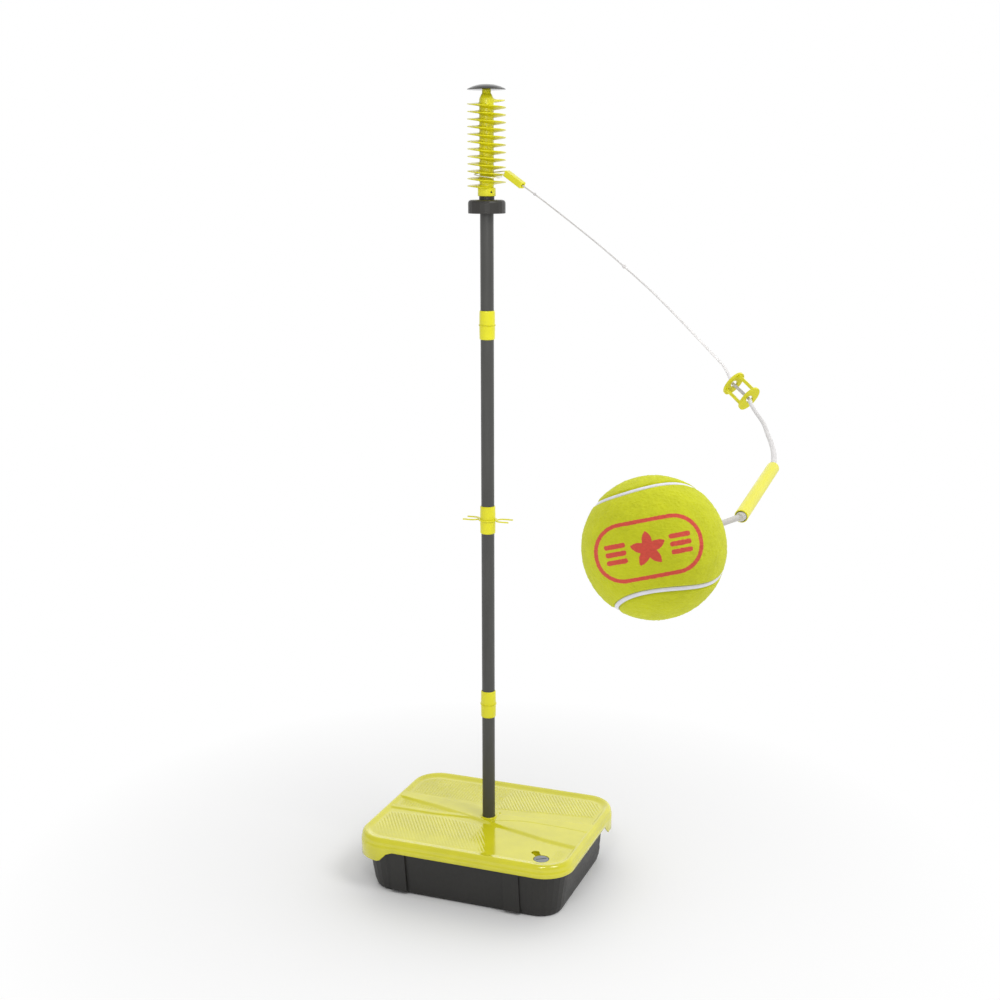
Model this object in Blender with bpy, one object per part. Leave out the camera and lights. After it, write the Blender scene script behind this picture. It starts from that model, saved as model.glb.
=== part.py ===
"""Tetherball set: a fillable base, a pole in four push-fit sections, a spiral winding head and a ball on a tether.

Metres, +Z up. The origin is on the floor under the pole's axis, +X runs along the base's long side.
"""

import math

import bmesh
import bpy
from mathutils import Matrix, Vector

GAP = 0.0003  # between pieces that touch

# Base
LID_HALF = (0.244, 0.1975)
LID_CORNER = 0.066
FIELD_HALF = (0.224, 0.1685)
FIELD_CORNER = 0.044
LID_FIELD_Z = 0.1255
LID_CREST_Z = 0.130
LID_WALL = 0.0025
SKIRT_Z = 0.103
SKIRT_DROP = 0.024
RAMP_AT = (0.154, 0.090)  # the |x| and |y| where the skirt's drop begins
RAMP_RUN = 0.031
TANK_TOP_HALF = (0.2345, 0.1890)
TANK_FOOT_HALF = (0.2170, 0.1720)
TANK_FOOT_Z = 0.010
TANK_TOP_Z = LID_FIELD_Z - LID_WALL - GAP
TANK_WALL = 0.0030
COLUMN_RADIUS = 0.0210
COLLAR_HOLE = 0.0172  # in the lid and the column, round the socket bush
RIB_CENTRES = (-0.1405, 0.121)
RIB_WIDTH = 0.038
RIB_PROUD = 0.0035
RIB_TOP_Z = 0.117
SCOOP_DEPTH = 0.015
PLUG_AT = (0.1774, -0.1507)
LOBE_AT = (0.1565, -0.1277)
PLUG_RADIUS = 0.0170
LOBE_RADIUS = 0.0090
WELL_RADIUS = 0.0215
WELL_FLOOR_Z = 0.109
BORE_RADIUS = 0.0125

# Pole
POLE_RADIUS = 0.0140
POLE_WALL = 0.0012
POLE_FOOT_Z = 0.0125
SEAMS = (0.396, 0.811, 1.226)
COUPLER_HALF_LENGTH = 0.030
COUPLER_RADIUS = 0.0164
SPIGOT_LENGTH = 0.050
HANGER_THICKNESS = 0.0026
HANGER_TIP = 0.052
HANGER_PRONG_Y = 0.0135

# Head
NECK_BOTTOM_Z = 1.4542
STOP_Z = (1.454, 1.481)
STOP_RADIUS = 0.0385
HEAD_Z = 1.4885
HEAD_COLLAR_TOP_Z = 1.505
CORE_RADIUS = 0.0147
CORE_TOP_Z = 1.681
SHOULDER_Z = 1.690
NECK_RADIUS = 0.0090
CAP_Z = 1.698
CAP_TOP_Z = 1.7085
CAP_RADIUS = 0.0393
FIN_RADIUS = 0.0395
FIN_PITCH = 0.0147
FIN_TOP_Z = 1.677
FIN_START_DEG = 21.0
FIN_TURNS = 11.8
FIN_ROOT = 0.0048
FIN_TIP = 0.0014

# Winding loop, tether and ball
WIRE_RADIUS = 0.0012
LOOP_END = Vector((0.0460, -0.0110, 1.5350))
CORD_RADIUS = 0.0015
LOOP_SLEEVE_END = Vector((0.0890, -0.0300, 1.5100))
LOOP_SLEEVE_WIDTH = 0.0130
ADJUSTER_AT = Vector((0.8670, -1.5860, 1.3535))
ADJUSTER_AXIS = Vector((0.634, -0.694, -0.339)).normalized()
ADJUSTER_SIDE = Vector((0.443, 0.366, 0.817)).normalized()
ADJUSTER_LENGTH = 0.032
SLEEVE_TOP = Vector((1.0010, -2.1430, 1.3980))
SLEEVE_MOUTH = Vector((0.9995, -2.2130, 1.3872))
SLEEVE_RADIUS = 0.0033
KNOT_RADIUS = 0.0024
TILT_GAP = 0.0009  # clears the corner of a cord that meets a sleeve at an angle
BEND_GAP = 0.0010  # lets the lower stretch of the cord turn against the upper one
BALL_AT = Vector((0.9680, -2.2540, 1.3790))
BALL_RADIUS = 0.0335
CORE_SHELL = (0.0265, 0.0300)
FELT_INNER = 0.0303
SEAM_HALF_WIDTH = 0.0014

# The tether's route, from the loop's sleeve to the adjuster and from there to the ball's sleeve.
UPPER_ROUTE = (
    (0.0890, -0.0300, 1.5100),
    (0.1230, -0.0540, 1.4940),
    (0.1880, -0.1080, 1.4630),
    (0.2620, -0.1960, 1.4340),
    (0.3460, -0.3240, 1.4080),
    (0.4310, -0.4720, 1.3850),
    (0.5390, -0.6890, 1.3630),
    (0.6420, -0.9270, 1.3480),
    (0.7440, -1.1960, 1.3430),
    (0.8030, -1.3710, 1.3460),
    (0.8380, -1.5020, 1.3530),
    (0.8510, -1.5560, 1.3580),
    (0.8569, -1.5749, 1.3580),
    (0.8670, -1.5860, 1.3530),
    (0.8770, -1.5975, 1.3480),
    (0.8810, -1.6120, 1.3480),
)
LOWER_ROUTE = (
    (0.8815, -1.6130, 1.3482),
    (0.8890, -1.6540, 1.3545),
    (0.9060, -1.7230, 1.3600),
    (0.9370, -1.8410, 1.3690),
    (0.9550, -1.9200, 1.3760),
    (0.9770, -2.0190, 1.3860),
    (0.9910, -2.0880, 1.3930),
    (1.0010, -2.1430, 1.3980),
)

YELLOW = (0.71, 0.69, 0.012)
BLACK = (0.035, 0.033, 0.030)


# ---- Scene helpers ----


def clear_scene():
    for obj in list(bpy.data.objects):
        bpy.data.objects.remove(obj)


def material(name, colour, roughness, metallic=0.0):
    made = bpy.data.materials.new(name)
    made.use_nodes = True
    shader = made.node_tree.nodes["Principled BSDF"]
    shader.inputs["Base Color"].default_value = (*colour, 1.0)
    shader.inputs["Roughness"].default_value = roughness
    shader.inputs["Metallic"].default_value = metallic
    made.diffuse_color = (*colour, 1.0)
    return made


def pivot(name, at):
    """An empty on a joint's axis, which the pieces of one moving body are parented to."""
    empty = bpy.data.objects.new(name, None)
    empty.location = at
    bpy.context.scene.collection.objects.link(empty)
    return empty


def add_object(name, data, finish=None, parent=None):
    obj = bpy.data.objects.new(name, data)
    bpy.context.scene.collection.objects.link(obj)
    if finish:
        data.materials.append(finish)
    if parent:
        obj.parent = parent
        obj.matrix_parent_inverse = Matrix.Translation(parent.location).inverted()
    return obj


def solid(name, bm, finish=None, parent=None, smooth_deg=35):
    """Makes an object of a bmesh, with its faces turned outwards."""
    bmesh.ops.remove_doubles(bm, verts=bm.verts, dist=1e-6)
    bmesh.ops.recalc_face_normals(bm, faces=bm.faces)
    mesh = bpy.data.meshes.new(name)
    bm.to_mesh(mesh)
    bm.free()
    mesh.shade_smooth()
    mesh.set_sharp_from_angle(angle=math.radians(smooth_deg))
    return add_object(name, mesh, finish, parent)


def combine(target, helper, operation):
    """Adds a Boolean with a helper object, which stays out of the model."""
    helper.hide_render = True
    helper.display_type = "WIRE"
    modifier = target.modifiers.new(helper.name, "BOOLEAN")
    modifier.object = helper
    modifier.operation = operation
    modifier.solver = "EXACT"


# ---- Shape helpers ----


def turned(profile, steps=24, closed=True):
    """A profile of (radius, z) points turned about Z. An open profile starts and ends on the axis."""
    bm = bmesh.new()
    verts = [bm.verts.new((r, 0.0, z)) for r, z in profile]
    pairs = list(zip(verts, verts[1:]))
    if closed:
        pairs.append((verts[-1], verts[0]))
    edges = [bm.edges.new(pair) for pair in pairs]
    bmesh.ops.spin(
        bm,
        geom=verts + edges,
        cent=(0, 0, 0),
        axis=(0, 0, 1),
        angle=2 * math.pi,
        steps=steps,
        use_merge=True,
    )
    bmesh.ops.remove_doubles(bm, verts=bm.verts, dist=1e-6)
    bmesh.ops.recalc_face_normals(bm, faces=bm.faces)
    return bm


def rod(radius, low, high, steps=24):
    return turned([(0, low), (radius, low), (radius, high), (0, high)], steps, closed=False)


def ball_of(radius, centre, columns=24, rows=16):
    bm = bmesh.new()
    bmesh.ops.create_uvsphere(
        bm, u_segments=columns, v_segments=rows, radius=radius, matrix=Matrix.Translation(centre)
    )
    return bm


def along(direction, at):
    """The matrix that takes +Z to a direction and the origin to a point."""
    return Matrix.Translation(at) @ Vector(direction).to_track_quat("Z", "Y").to_matrix().to_4x4()


def moved(bm, matrix):
    bmesh.ops.transform(bm, matrix=matrix, verts=bm.verts)
    return bm


def box(low, high):
    bm = bmesh.new()
    size = Vector(high) - Vector(low)
    middle = (Vector(high) + Vector(low)) / 2
    scale = Matrix.Diagonal((*size, 1.0))
    bmesh.ops.create_cube(bm, size=1.0, matrix=Matrix.Translation(middle) @ scale)
    return bm


def prism(outline, low, high):
    """An outline of (x, y) points extruded from one height to another."""
    bm = bmesh.new()
    face = bm.faces.new([bm.verts.new((x, y, low)) for x, y in outline])
    made = bmesh.ops.extrude_face_region(bm, geom=[face])["geom"]
    lifted = [g for g in made if isinstance(g, bmesh.types.BMVert)]
    bmesh.ops.translate(bm, vec=(0, 0, high - low), verts=lifted)
    return bm


def rounded_rectangle(half, radius, z, stops=None, steps=6):
    """Points of a rounded rectangle, counter-clockwise. Stops are an |x| and a |y| for extra side points."""
    cx, cy = half[0] - radius, half[1] - radius
    points = []
    for quarter, (sx, sy) in enumerate(((1, 1), (-1, 1), (-1, -1), (1, -1))):
        for step in range(steps + 1):
            angle = math.pi / 2 * (quarter + step / steps)
            points.append(
                (sx * cx + radius * math.cos(angle), sy * cy + radius * math.sin(angle), z)
            )
        if stops and quarter % 2 == 0:
            points += [(x, sy * half[1], z) for x in (sx * stops[0], -sx * stops[0])]
        if stops and quarter % 2 == 1:
            points += [(sx * half[0], y, z) for y in (sy * stops[1], -sy * stops[1])]
    return points


def loft(rings):
    """Joins rings with as many points each, and closes the first and the last with one face."""
    bm = bmesh.new()
    made = [[bm.verts.new(p) for p in ring] for ring in rings]
    for low, high in zip(made, made[1:]):
        for i in range(len(low)):
            j = (i + 1) % len(low)
            bm.faces.new((low[i], low[j], high[j], high[i]))
    bm.faces.new(made[0])
    bm.faces.new(made[-1])
    return bm


def smooth_route(route, step):
    """Points about a step apart on a smooth curve through the route's points."""
    points = [Vector(p) for p in route]
    padded = [2 * points[0] - points[1], *points, 2 * points[-1] - points[-2]]
    out = [points[0]]
    for a, b, c, d in zip(padded, padded[1:], padded[2:], padded[3:]):
        fewest = 1 if (c - b).length < 0.012 else 2
        count = max(fewest, round((c - b).length / step))
        for k in range(1, count + 1):
            out.append(catmull_rom(a, b, c, d, k / count))
    return out


def catmull_rom(a, b, c, d, t):
    """Centripetal Catmull-Rom: it has no loops or overshoot where the points are unevenly spaced."""
    ta = 0.0
    tb = ta + (b - a).length ** 0.5
    tc = tb + (c - b).length ** 0.5
    td = tc + (d - c).length ** 0.5
    u = tb + (tc - tb) * t
    ab = a.lerp(b, (u - ta) / (tb - ta))
    bc = b.lerp(c, (u - tb) / (tc - tb))
    cd = c.lerp(d, (u - tc) / (td - tc))
    abc = ab.lerp(bc, (u - ta) / (tc - ta))
    bcd = bc.lerp(cd, (u - tb) / (td - tb))
    return abc.lerp(bcd, (u - tb) / (tc - tb))


def tube(name, points, radius, finish, parent, resolution=2):
    """A round tube along points, closed at both ends."""
    curve = bpy.data.curves.new(name, "CURVE")
    curve.dimensions = "3D"
    curve.bevel_depth = radius
    curve.bevel_resolution = resolution
    curve.use_fill_caps = True
    spline = curve.splines.new("POLY")
    spline.points.add(len(points) - 1)
    for point, place in zip(spline.points, points):
        point.co = (*place, 1.0)
    return add_object(name, curve, finish, parent)


# ---- Base ----


def skirt_drop(x, y):
    """How far the skirt hangs down at a point: deep round two opposite corners, with a ramp at each side."""
    if x * y <= 0:
        return 0.0
    ramps = ((abs(x) - RAMP_AT[0]) / RAMP_RUN, (abs(y) - RAMP_AT[1]) / RAMP_RUN)
    return SKIRT_DROP * max(0.0, min(1.0, *ramps))


def tank_ring(inset, z, radius):
    """The tank's outline at a height, less an inset. Its sides lean in towards the foot."""
    share = (z - TANK_FOOT_Z) / (TANK_TOP_Z - TANK_FOOT_Z)
    half = [low + (high - low) * share - inset for low, high in zip(TANK_FOOT_HALF, TANK_TOP_HALF)]
    return rounded_rectangle(half, radius - inset / 2, z)


def wall_y(z):
    """How far the tank's long side stands from the middle at a height."""
    share = (z - TANK_FOOT_Z) / (TANK_TOP_Z - TANK_FOOT_Z)
    return TANK_FOOT_HALF[1] + (TANK_TOP_HALF[1] - TANK_FOOT_HALF[1]) * share


def make_tank(finish):
    outside = [
        tank_ring(0.0060, 0.0, 0.048),
        tank_ring(0.0024, 0.0025, 0.049),
        tank_ring(0.0008, 0.0070, 0.050),
        tank_ring(0.0, 0.0150, 0.050),
        tank_ring(0.0, TANK_TOP_Z, 0.062),
    ]
    inside = [
        tank_ring(0.0060, TANK_WALL, 0.048),
        tank_ring(TANK_WALL, 0.0150, 0.049),
        tank_ring(TANK_WALL, TANK_TOP_Z + 0.01, 0.061),
    ]
    tank = solid("base_tank", loft(outside), finish)
    cavity = solid("tank_cavity", loft(inside))
    for turn in (0, 180):
        combine(tank, make_scoop(turn, 0.0), "DIFFERENCE")
        combine(cavity, make_scoop(turn, TANK_WALL), "DIFFERENCE")
    combine(tank, cavity, "DIFFERENCE")
    for turn in (0, 180):
        for centre in RIB_CENTRES:
            combine(tank, make_rib(turn, centre), "UNION")
    column = turned(
        [
            (POLE_RADIUS + GAP, POLE_FOOT_Z - 0.003),
            (POLE_RADIUS + GAP, 0.094),
            (COLLAR_HOLE, 0.094),
            (COLLAR_HOLE, TANK_TOP_Z),
            (COLUMN_RADIUS, TANK_TOP_Z),
            (COLUMN_RADIUS, 0.0015),
            (0.004, 0.0015),
            (0.004, POLE_FOOT_Z - 0.003),
        ]
    )
    combine(tank, solid("socket_column", column), "UNION")
    return tank


def make_rib(turn, centre):
    """A flat raised band up the tank's long side, which stands a little further out at its foot."""
    foot, top = TANK_FOOT_HALF[1], wall_y(RIB_TOP_Z)
    levels = (
        (0.0030, foot - 0.0024, 0.0006),
        (0.0075, foot, 0.0062),
        (RIB_TOP_Z, top, RIB_PROUD),
    )
    rings = []
    for z, wall, proud in levels:
        outline = (
            (-RIB_WIDTH / 2, 0.0015),
            (-RIB_WIDTH / 2 + 0.001, -proud),
            (RIB_WIDTH / 2 - 0.001, -proud),
            (RIB_WIDTH / 2, 0.0015),
        )
        rings.append([(centre + x, y - wall, z) for x, y in outline])
    rib = moved(loft(rings), Matrix.Rotation(math.radians(turn), 4, "Z"))
    return solid(f"rib_{turn}_{'left' if centre < 0 else 'right'}", rib)


def make_scoop(turn, grow):
    """The cutter of the hand hold in a short side: a ledge that falls and deepens towards one end."""
    rings = []
    for step in range(9):
        share = step / 8
        y = -0.115 + 0.325 * share
        depth = SCOOP_DEPTH * share * share * (3 - 2 * share)
        inner = TANK_TOP_HALF[0] - 0.006 - depth - grow
        ledge = 0.048 - 0.030 * share
        lip = ledge - 1.3 * depth
        outline = (
            (inner, SKIRT_Z + 0.004 + grow),
            (0.260, SKIRT_Z + 0.004 + grow),
            (0.260, lip - grow - 0.012),
            (inner + depth, lip - grow),
            (inner + 0.004, ledge - grow),
            (inner, ledge + 0.008 - grow),
        )
        rings.append([(x, y, z) for x, z in outline])
    scoop = moved(loft(rings), Matrix.Rotation(math.radians(turn), 4, "Z"))
    return solid(f"scoop_{turn}_{'inner' if grow else 'outer'}", scoop)


def make_lid(finish):
    def ring(inset, z, drops=0.0):
        half = [h - inset for h in LID_HALF]
        points = rounded_rectangle(half, LID_CORNER - inset, z, RAMP_AT)
        spread = (LID_HALF[0] / half[0], LID_HALF[1] / half[1])
        return [(x, y, z - drops * skirt_drop(x * spread[0], y * spread[1])) for x, y, z in points]

    underside = LID_FIELD_Z - LID_WALL
    rings = [
        ring(0.0075, underside),
        ring(LID_WALL + 0.0015, underside - 0.004),
        ring(LID_WALL, SKIRT_Z, drops=1.0),
        ring(0.0, SKIRT_Z, drops=1.0),
        ring(0.0010, LID_CREST_Z - 0.0100),
        ring(0.0028, LID_CREST_Z - 0.0035),
        ring(0.0062, LID_CREST_Z - 0.0006),
        ring(0.0095, LID_CREST_Z),
        ring(0.0125, LID_CREST_Z - 0.0005),
        rounded_rectangle(FIELD_HALF, FIELD_CORNER, LID_FIELD_Z, RAMP_AT),
    ]
    lid = solid("base_lid", loft(rings), finish)
    combine(lid, solid("pole_hole", rod(COLLAR_HOLE, 0.11, 0.15)), "DIFFERENCE")
    hole = keyhole("keyhole", PLUG_RADIUS, LOBE_RADIUS, 0.0065, 0.11, 0.15)
    combine(lid, hole, "DIFFERENCE")
    return lid


def lobe_reach():
    """From the plug's centre to the finger lobe's."""
    return Vector(LOBE_AT) - Vector(PLUG_AT)


def plug_frame():
    """The matrix that puts the plug's centre at the origin and its lobe along +X."""
    reach = lobe_reach()
    return Matrix.Translation((*PLUG_AT, 0)) @ Matrix.Rotation(math.atan2(reach.y, reach.x), 4, "Z")


def arc(centre, radius, start, end, steps):
    """Points on an arc in the XY plane, both ends included."""
    angles = [start + (end - start) * k / steps for k in range(steps + 1)]
    return [(centre + radius * math.cos(a), radius * math.sin(a)) for a in angles]


def keyhole(name, plug_radius, lobe_radius, throat, low, high, finish=None):
    """A prism with the outline of the plug's round hole, its throat and the finger lobe."""
    plug_gap = math.asin(throat / plug_radius)
    lobe_gap = math.pi - math.asin(throat / lobe_radius)
    outline = arc(0.0, plug_radius, plug_gap, 2 * math.pi - plug_gap, 20)
    outline += arc(lobe_reach().length, lobe_radius, -lobe_gap, lobe_gap, 12)
    return solid(name, moved(prism(outline, low, high), plug_frame()), finish)


def make_filler_well(finish):
    """The well under the lid's keyhole, with the filler bore in its floor."""
    top = LID_FIELD_Z - LID_WALL - GAP
    well = keyhole("filler_well", WELL_RADIUS, 0.0130, 0.0088, WELL_FLOOR_Z - 0.003, top, finish)
    hollow = keyhole("well_hollow", WELL_RADIUS - 0.002, 0.0111, 0.0070, WELL_FLOOR_Z, 0.15)
    combine(well, hollow, "DIFFERENCE")
    bore = solid("filler_bore", moved(rod(BORE_RADIUS, 0.10, 0.15), plug_frame()))
    combine(well, bore, "DIFFERENCE")
    return well


def make_filler_plug(grey, rubber, parent):
    """A flanged plug with a coin slot, its rubber ring and the finger strap under its flange."""
    flange = PLUG_RADIUS - 0.0008
    stem = BORE_RADIUS - 0.0020
    seat = WELL_FLOOR_Z + GAP
    bm = turned(
        [
            (0.0, seat - 0.0103),
            (stem - 0.0015, seat - 0.0103),
            (stem, seat - 0.0083),
            (stem, seat + 0.0040),
            (flange, seat + 0.0040),
            (flange, LID_FIELD_Z - 0.0012),
            (flange - 0.0012, LID_FIELD_Z),
            (0.0, LID_FIELD_Z),
        ],
        closed=False,
    )
    plug = solid("filler_plug", moved(bm, plug_frame()), grey, parent)
    slot = box((-0.0115, -0.0016, LID_FIELD_Z - 0.0035), (0.0115, 0.0016, 0.15))
    turn = Matrix.Rotation(math.radians(-97), 4, "Z")
    combine(plug, solid("coin_slot", moved(slot, plug_frame() @ turn)), "DIFFERENCE")
    make_ring("plug_seal", seat, 0.0150, rubber, parent)
    strap = make_ring("plug_strap", seat + 0.0019, 0.0158, rubber, parent)
    low = seat + 0.0019
    tongue = box((0.0130, -0.0045, low), (lobe_reach().length - 0.008, 0.0045, low + 0.0016))
    combine(strap, solid("strap_tongue", moved(tongue, plug_frame())), "UNION")


def make_ring(name, low, radius, finish, parent):
    """A flat rubber ring round the plug's stem."""
    inner, high = BORE_RADIUS - 0.0020 + GAP, low + 0.0016
    bm = turned([(inner, low), (radius, low), (radius, high), (inner, high)])
    return solid(name, moved(bm, plug_frame()), finish, parent)


def make_socket_bush(finish):
    """The ring round the pole that screws into the tank's column and holds the lid down."""
    bore = POLE_RADIUS + GAP
    bm = turned(
        [
            (bore, 0.0945),
            (bore, LID_FIELD_Z + 0.0057),
            (bore + 0.0004, LID_FIELD_Z + 0.0061),
            (0.0178, LID_FIELD_Z + 0.0061),
            (0.0186, LID_FIELD_Z + 0.0051),
            (0.0186, LID_FIELD_Z + GAP),
            (0.0169, LID_FIELD_Z + GAP),
            (0.0169, 0.0945),
        ]
    )
    return solid("socket_bush", bm, finish)


# ---- Pole ----


def make_pole(name, low, high, finish, parent):
    inner = POLE_RADIUS - POLE_WALL
    bm = turned([(POLE_RADIUS, low), (POLE_RADIUS, high), (inner, high), (inner, low)])
    return solid(name, bm, finish, parent)


def sleeve_profile(seam, way):
    """The outer side of one half of a coupler, from the seam to its open end."""
    return [
        (COUPLER_RADIUS, seam + way * 0.0016),
        (COUPLER_RADIUS, seam + way * 0.012),
        (COUPLER_RADIUS - 0.0003, seam + way * 0.026),
        (COUPLER_RADIUS - 0.0001, seam + way * 0.0268),
        (COUPLER_RADIUS - 0.0006, seam + way * 0.0290),
        (COUPLER_RADIUS - 0.0015, seam + way * COUPLER_HALF_LENGTH),
    ]


def make_coupler_socket(name, seam, finish, parent, flange):
    """The lower half, on top of one pole section. It holds the spigot of the section above."""
    top = seam - GAP / 2
    flange_radius = COUPLER_RADIUS + (0.0014 if flange else 0.0)
    profile = [(0.0124, top), (flange_radius, top), (flange_radius, seam - 0.0014)]
    profile += sleeve_profile(seam, -1)
    profile += [
        (POLE_RADIUS + GAP, seam - COUPLER_HALF_LENGTH),
        (POLE_RADIUS + GAP, seam - 0.0025),
        (0.0124, seam - 0.0025),
    ]
    return solid(name, turned(profile), finish, parent)


def make_coupler_spigot(name, seam, finish, parent, flange):
    """The upper half, on the foot of a pole section, with the spigot that goes down into the one below."""
    low = seam + GAP / 2
    flange_radius = COUPLER_RADIUS + (0.0014 if flange else 0.0)
    spigot = 0.0121
    profile = [
        (0.0, seam - SPIGOT_LENGTH),
        (spigot - 0.0015, seam - SPIGOT_LENGTH),
        (spigot, seam - SPIGOT_LENGTH + 0.0015),
        (spigot, low),
        (flange_radius, low),
        (flange_radius, seam + 0.0014),
    ]
    profile += sleeve_profile(seam, 1)
    profile += [
        (POLE_RADIUS + GAP, seam + COUPLER_HALF_LENGTH),
        (POLE_RADIUS + GAP, seam + 0.0042),
        (POLE_RADIUS - POLE_WALL - GAP, seam + 0.0042),
        (POLE_RADIUS - POLE_WALL - GAP, seam + 0.0240),
        (0.0, seam + 0.0240),
    ]
    return solid(name, turned(profile, closed=False), finish, parent)


def make_hanger(seam, finish, parent):
    """A flat ring round the middle coupler with an open fork on each side, which a bat's neck hangs in."""
    low, high = seam - HANGER_THICKNESS / 2, seam + HANGER_THICKNESS / 2
    ring = turned(
        [
            (COUPLER_RADIUS + GAP, low),
            (COUPLER_RADIUS + GAP, high),
            (COUPLER_RADIUS + 0.0036, high),
            (COUPLER_RADIUS + 0.0036, low),
        ]
    )
    hanger = solid("bat_hanger", ring, finish, parent)
    for side in (-1, 1):
        combine(hanger, make_fork(side, low, high), "UNION")
    return hanger


def make_fork(side, low, high):
    """A horseshoe: a half ring that opens into two straight prongs along X."""
    width = 0.0028
    inner = HANGER_PRONG_Y - width / 2
    outer = HANGER_PRONG_Y + width / 2
    centre = COUPLER_RADIUS + 0.0026 + outer
    steps = 12
    inside, outside = [], []
    for step in range(steps + 1):
        angle = math.pi / 2 + math.pi * step / steps
        inside.append((centre + inner * math.cos(angle), inner * math.sin(angle)))
        outside.append((centre + outer * math.cos(angle), outer * math.sin(angle)))
    outline = [(HANGER_TIP, outside[0][1])] + outside + [(HANGER_TIP, outside[-1][1])]
    outline += [(HANGER_TIP, inside[-1][1])] + inside[::-1] + [(HANGER_TIP, inside[0][1])]
    flat = [(side * x, y) for x, y in outline]
    return solid(f"fork_{'left' if side < 0 else 'right'}", prism(flat, low, high))


# ---- Head ----


def make_neck(finish, parent):
    """The plug in the top of the pole that the head stands on, with a sleeve outside that holds the stop."""
    pole_top = STOP_Z[1] - 0.004
    bm = turned(
        [
            (0.0, 1.425),
            (0.0110, 1.425),
            (0.0125, 1.4265),
            (0.0125, pole_top + GAP),
            (POLE_RADIUS + GAP, pole_top + GAP),
            (POLE_RADIUS + GAP, NECK_BOTTOM_Z),
            (0.0180, NECK_BOTTOM_Z),
            (0.0180, NECK_BOTTOM_Z + 0.0034),
            (0.0157, NECK_BOTTOM_Z + 0.0034),
            (0.0157, HEAD_Z - GAP),
            (0.0098, HEAD_Z - GAP),
            (0.0098, 1.525),
            (0.0088, 1.527),
            (0.0, 1.527),
        ],
        closed=False,
    )
    return solid("neck_adapter", bm, finish, parent)


def make_stop(finish, parent):
    low, high = STOP_Z
    bm = turned(
        [
            (0.0160, low + 0.0039),
            (0.0190, low + 0.0039),
            (0.0190, low),
            (STOP_RADIUS - 0.0006, low),
            (STOP_RADIUS, low + 0.0008),
            (STOP_RADIUS, high - 0.0055),
            (STOP_RADIUS - 0.0016, high - 0.0017),
            (STOP_RADIUS - 0.0055, high),
            (0.0160, high),
        ]
    )
    return solid("stop_collar", bm, finish, parent)


def fin_z(angle):
    """The height of the fin's middle at an angle in radians from +X, falling as the angle grows."""
    return FIN_TOP_Z - FIN_PITCH * (angle - math.radians(FIN_START_DEG)) / (2 * math.pi)


def make_fin():
    """The left-handed helical fin, as a thin wedge swept round the core."""
    steps_a_turn = 16
    count = round(FIN_TURNS * steps_a_turn)
    root = CORE_RADIUS - 0.0012
    bm = bmesh.new()
    sections = []
    for step in range(count + 1):
        angle = math.radians(FIN_START_DEG) + 2 * math.pi * step / steps_a_turn
        middle = fin_z(angle)
        tip = FIN_RADIUS - 0.004 * max(0.0, 1 - step / 3)
        left = count - step
        if left < 5:
            tip = CORE_RADIUS + 0.0048 + (tip - CORE_RADIUS - 0.0048) * left / 5
        corners = (
            (root, middle - FIN_ROOT / 2),
            (tip, middle - FIN_TIP / 2 + 0.0010),
            (tip, middle + FIN_TIP / 2 + 0.0010),
            (root, middle + FIN_ROOT / 2),
        )
        c, s = math.cos(angle), math.sin(angle)
        sections.append([bm.verts.new((r * c, r * s, z)) for r, z in corners])
    for low, high in zip(sections, sections[1:]):
        for i in range(4):
            bm.faces.new((low[i], low[(i + 1) % 4], high[(i + 1) % 4], high[i]))
    bm.faces.new(sections[0])
    bm.faces.new(sections[-1])
    return solid("fin", bm)


def make_head(finish, parent):
    bm = turned(
        [
            (0.0, 1.5285),
            (0.0101, 1.5285),
            (0.0101, HEAD_Z),
            (0.0178, HEAD_Z),
            (0.01835, HEAD_Z + 0.0008),
            (0.01835, HEAD_COLLAR_TOP_Z - 0.001),
            (0.0175, HEAD_COLLAR_TOP_Z),
            (CORE_RADIUS, HEAD_COLLAR_TOP_Z),
            (CORE_RADIUS, CORE_TOP_Z),
            (NECK_RADIUS + 0.0008, SHOULDER_Z),
            (NECK_RADIUS, SHOULDER_Z + 0.0008),
            (NECK_RADIUS, CAP_Z),
            (0.0058, CAP_Z),
            (0.0058, 1.660),
            (0.0, 1.660),
        ],
        closed=False,
    )
    head = solid("spiral_head", bm, finish, parent)
    combine(head, make_fin(), "UNION")
    hole = rod(0.0020, 0.0090, 0.0195, 16)
    combine(head, solid("screw_hole", moved(hole, screw_frame())), "DIFFERENCE")
    return head


def screw_frame():
    """The matrix that points +Z out of the head's collar, at its right-hand front."""
    heading = math.radians(-37.6)
    return along((math.cos(heading), math.sin(heading), 0.0), (0, 0, 1.4965))


def make_head_screw(finish, parent):
    radius, start, end, edge = 0.0017, 0.0105, 0.0180, 0.0004
    profile = [(0, start), (radius, start), (radius, end - edge), (radius - edge, end), (0, end)]
    bm = turned(profile, 16, closed=False)
    return solid("head_screw", moved(bm, screw_frame()), finish, parent)


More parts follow.
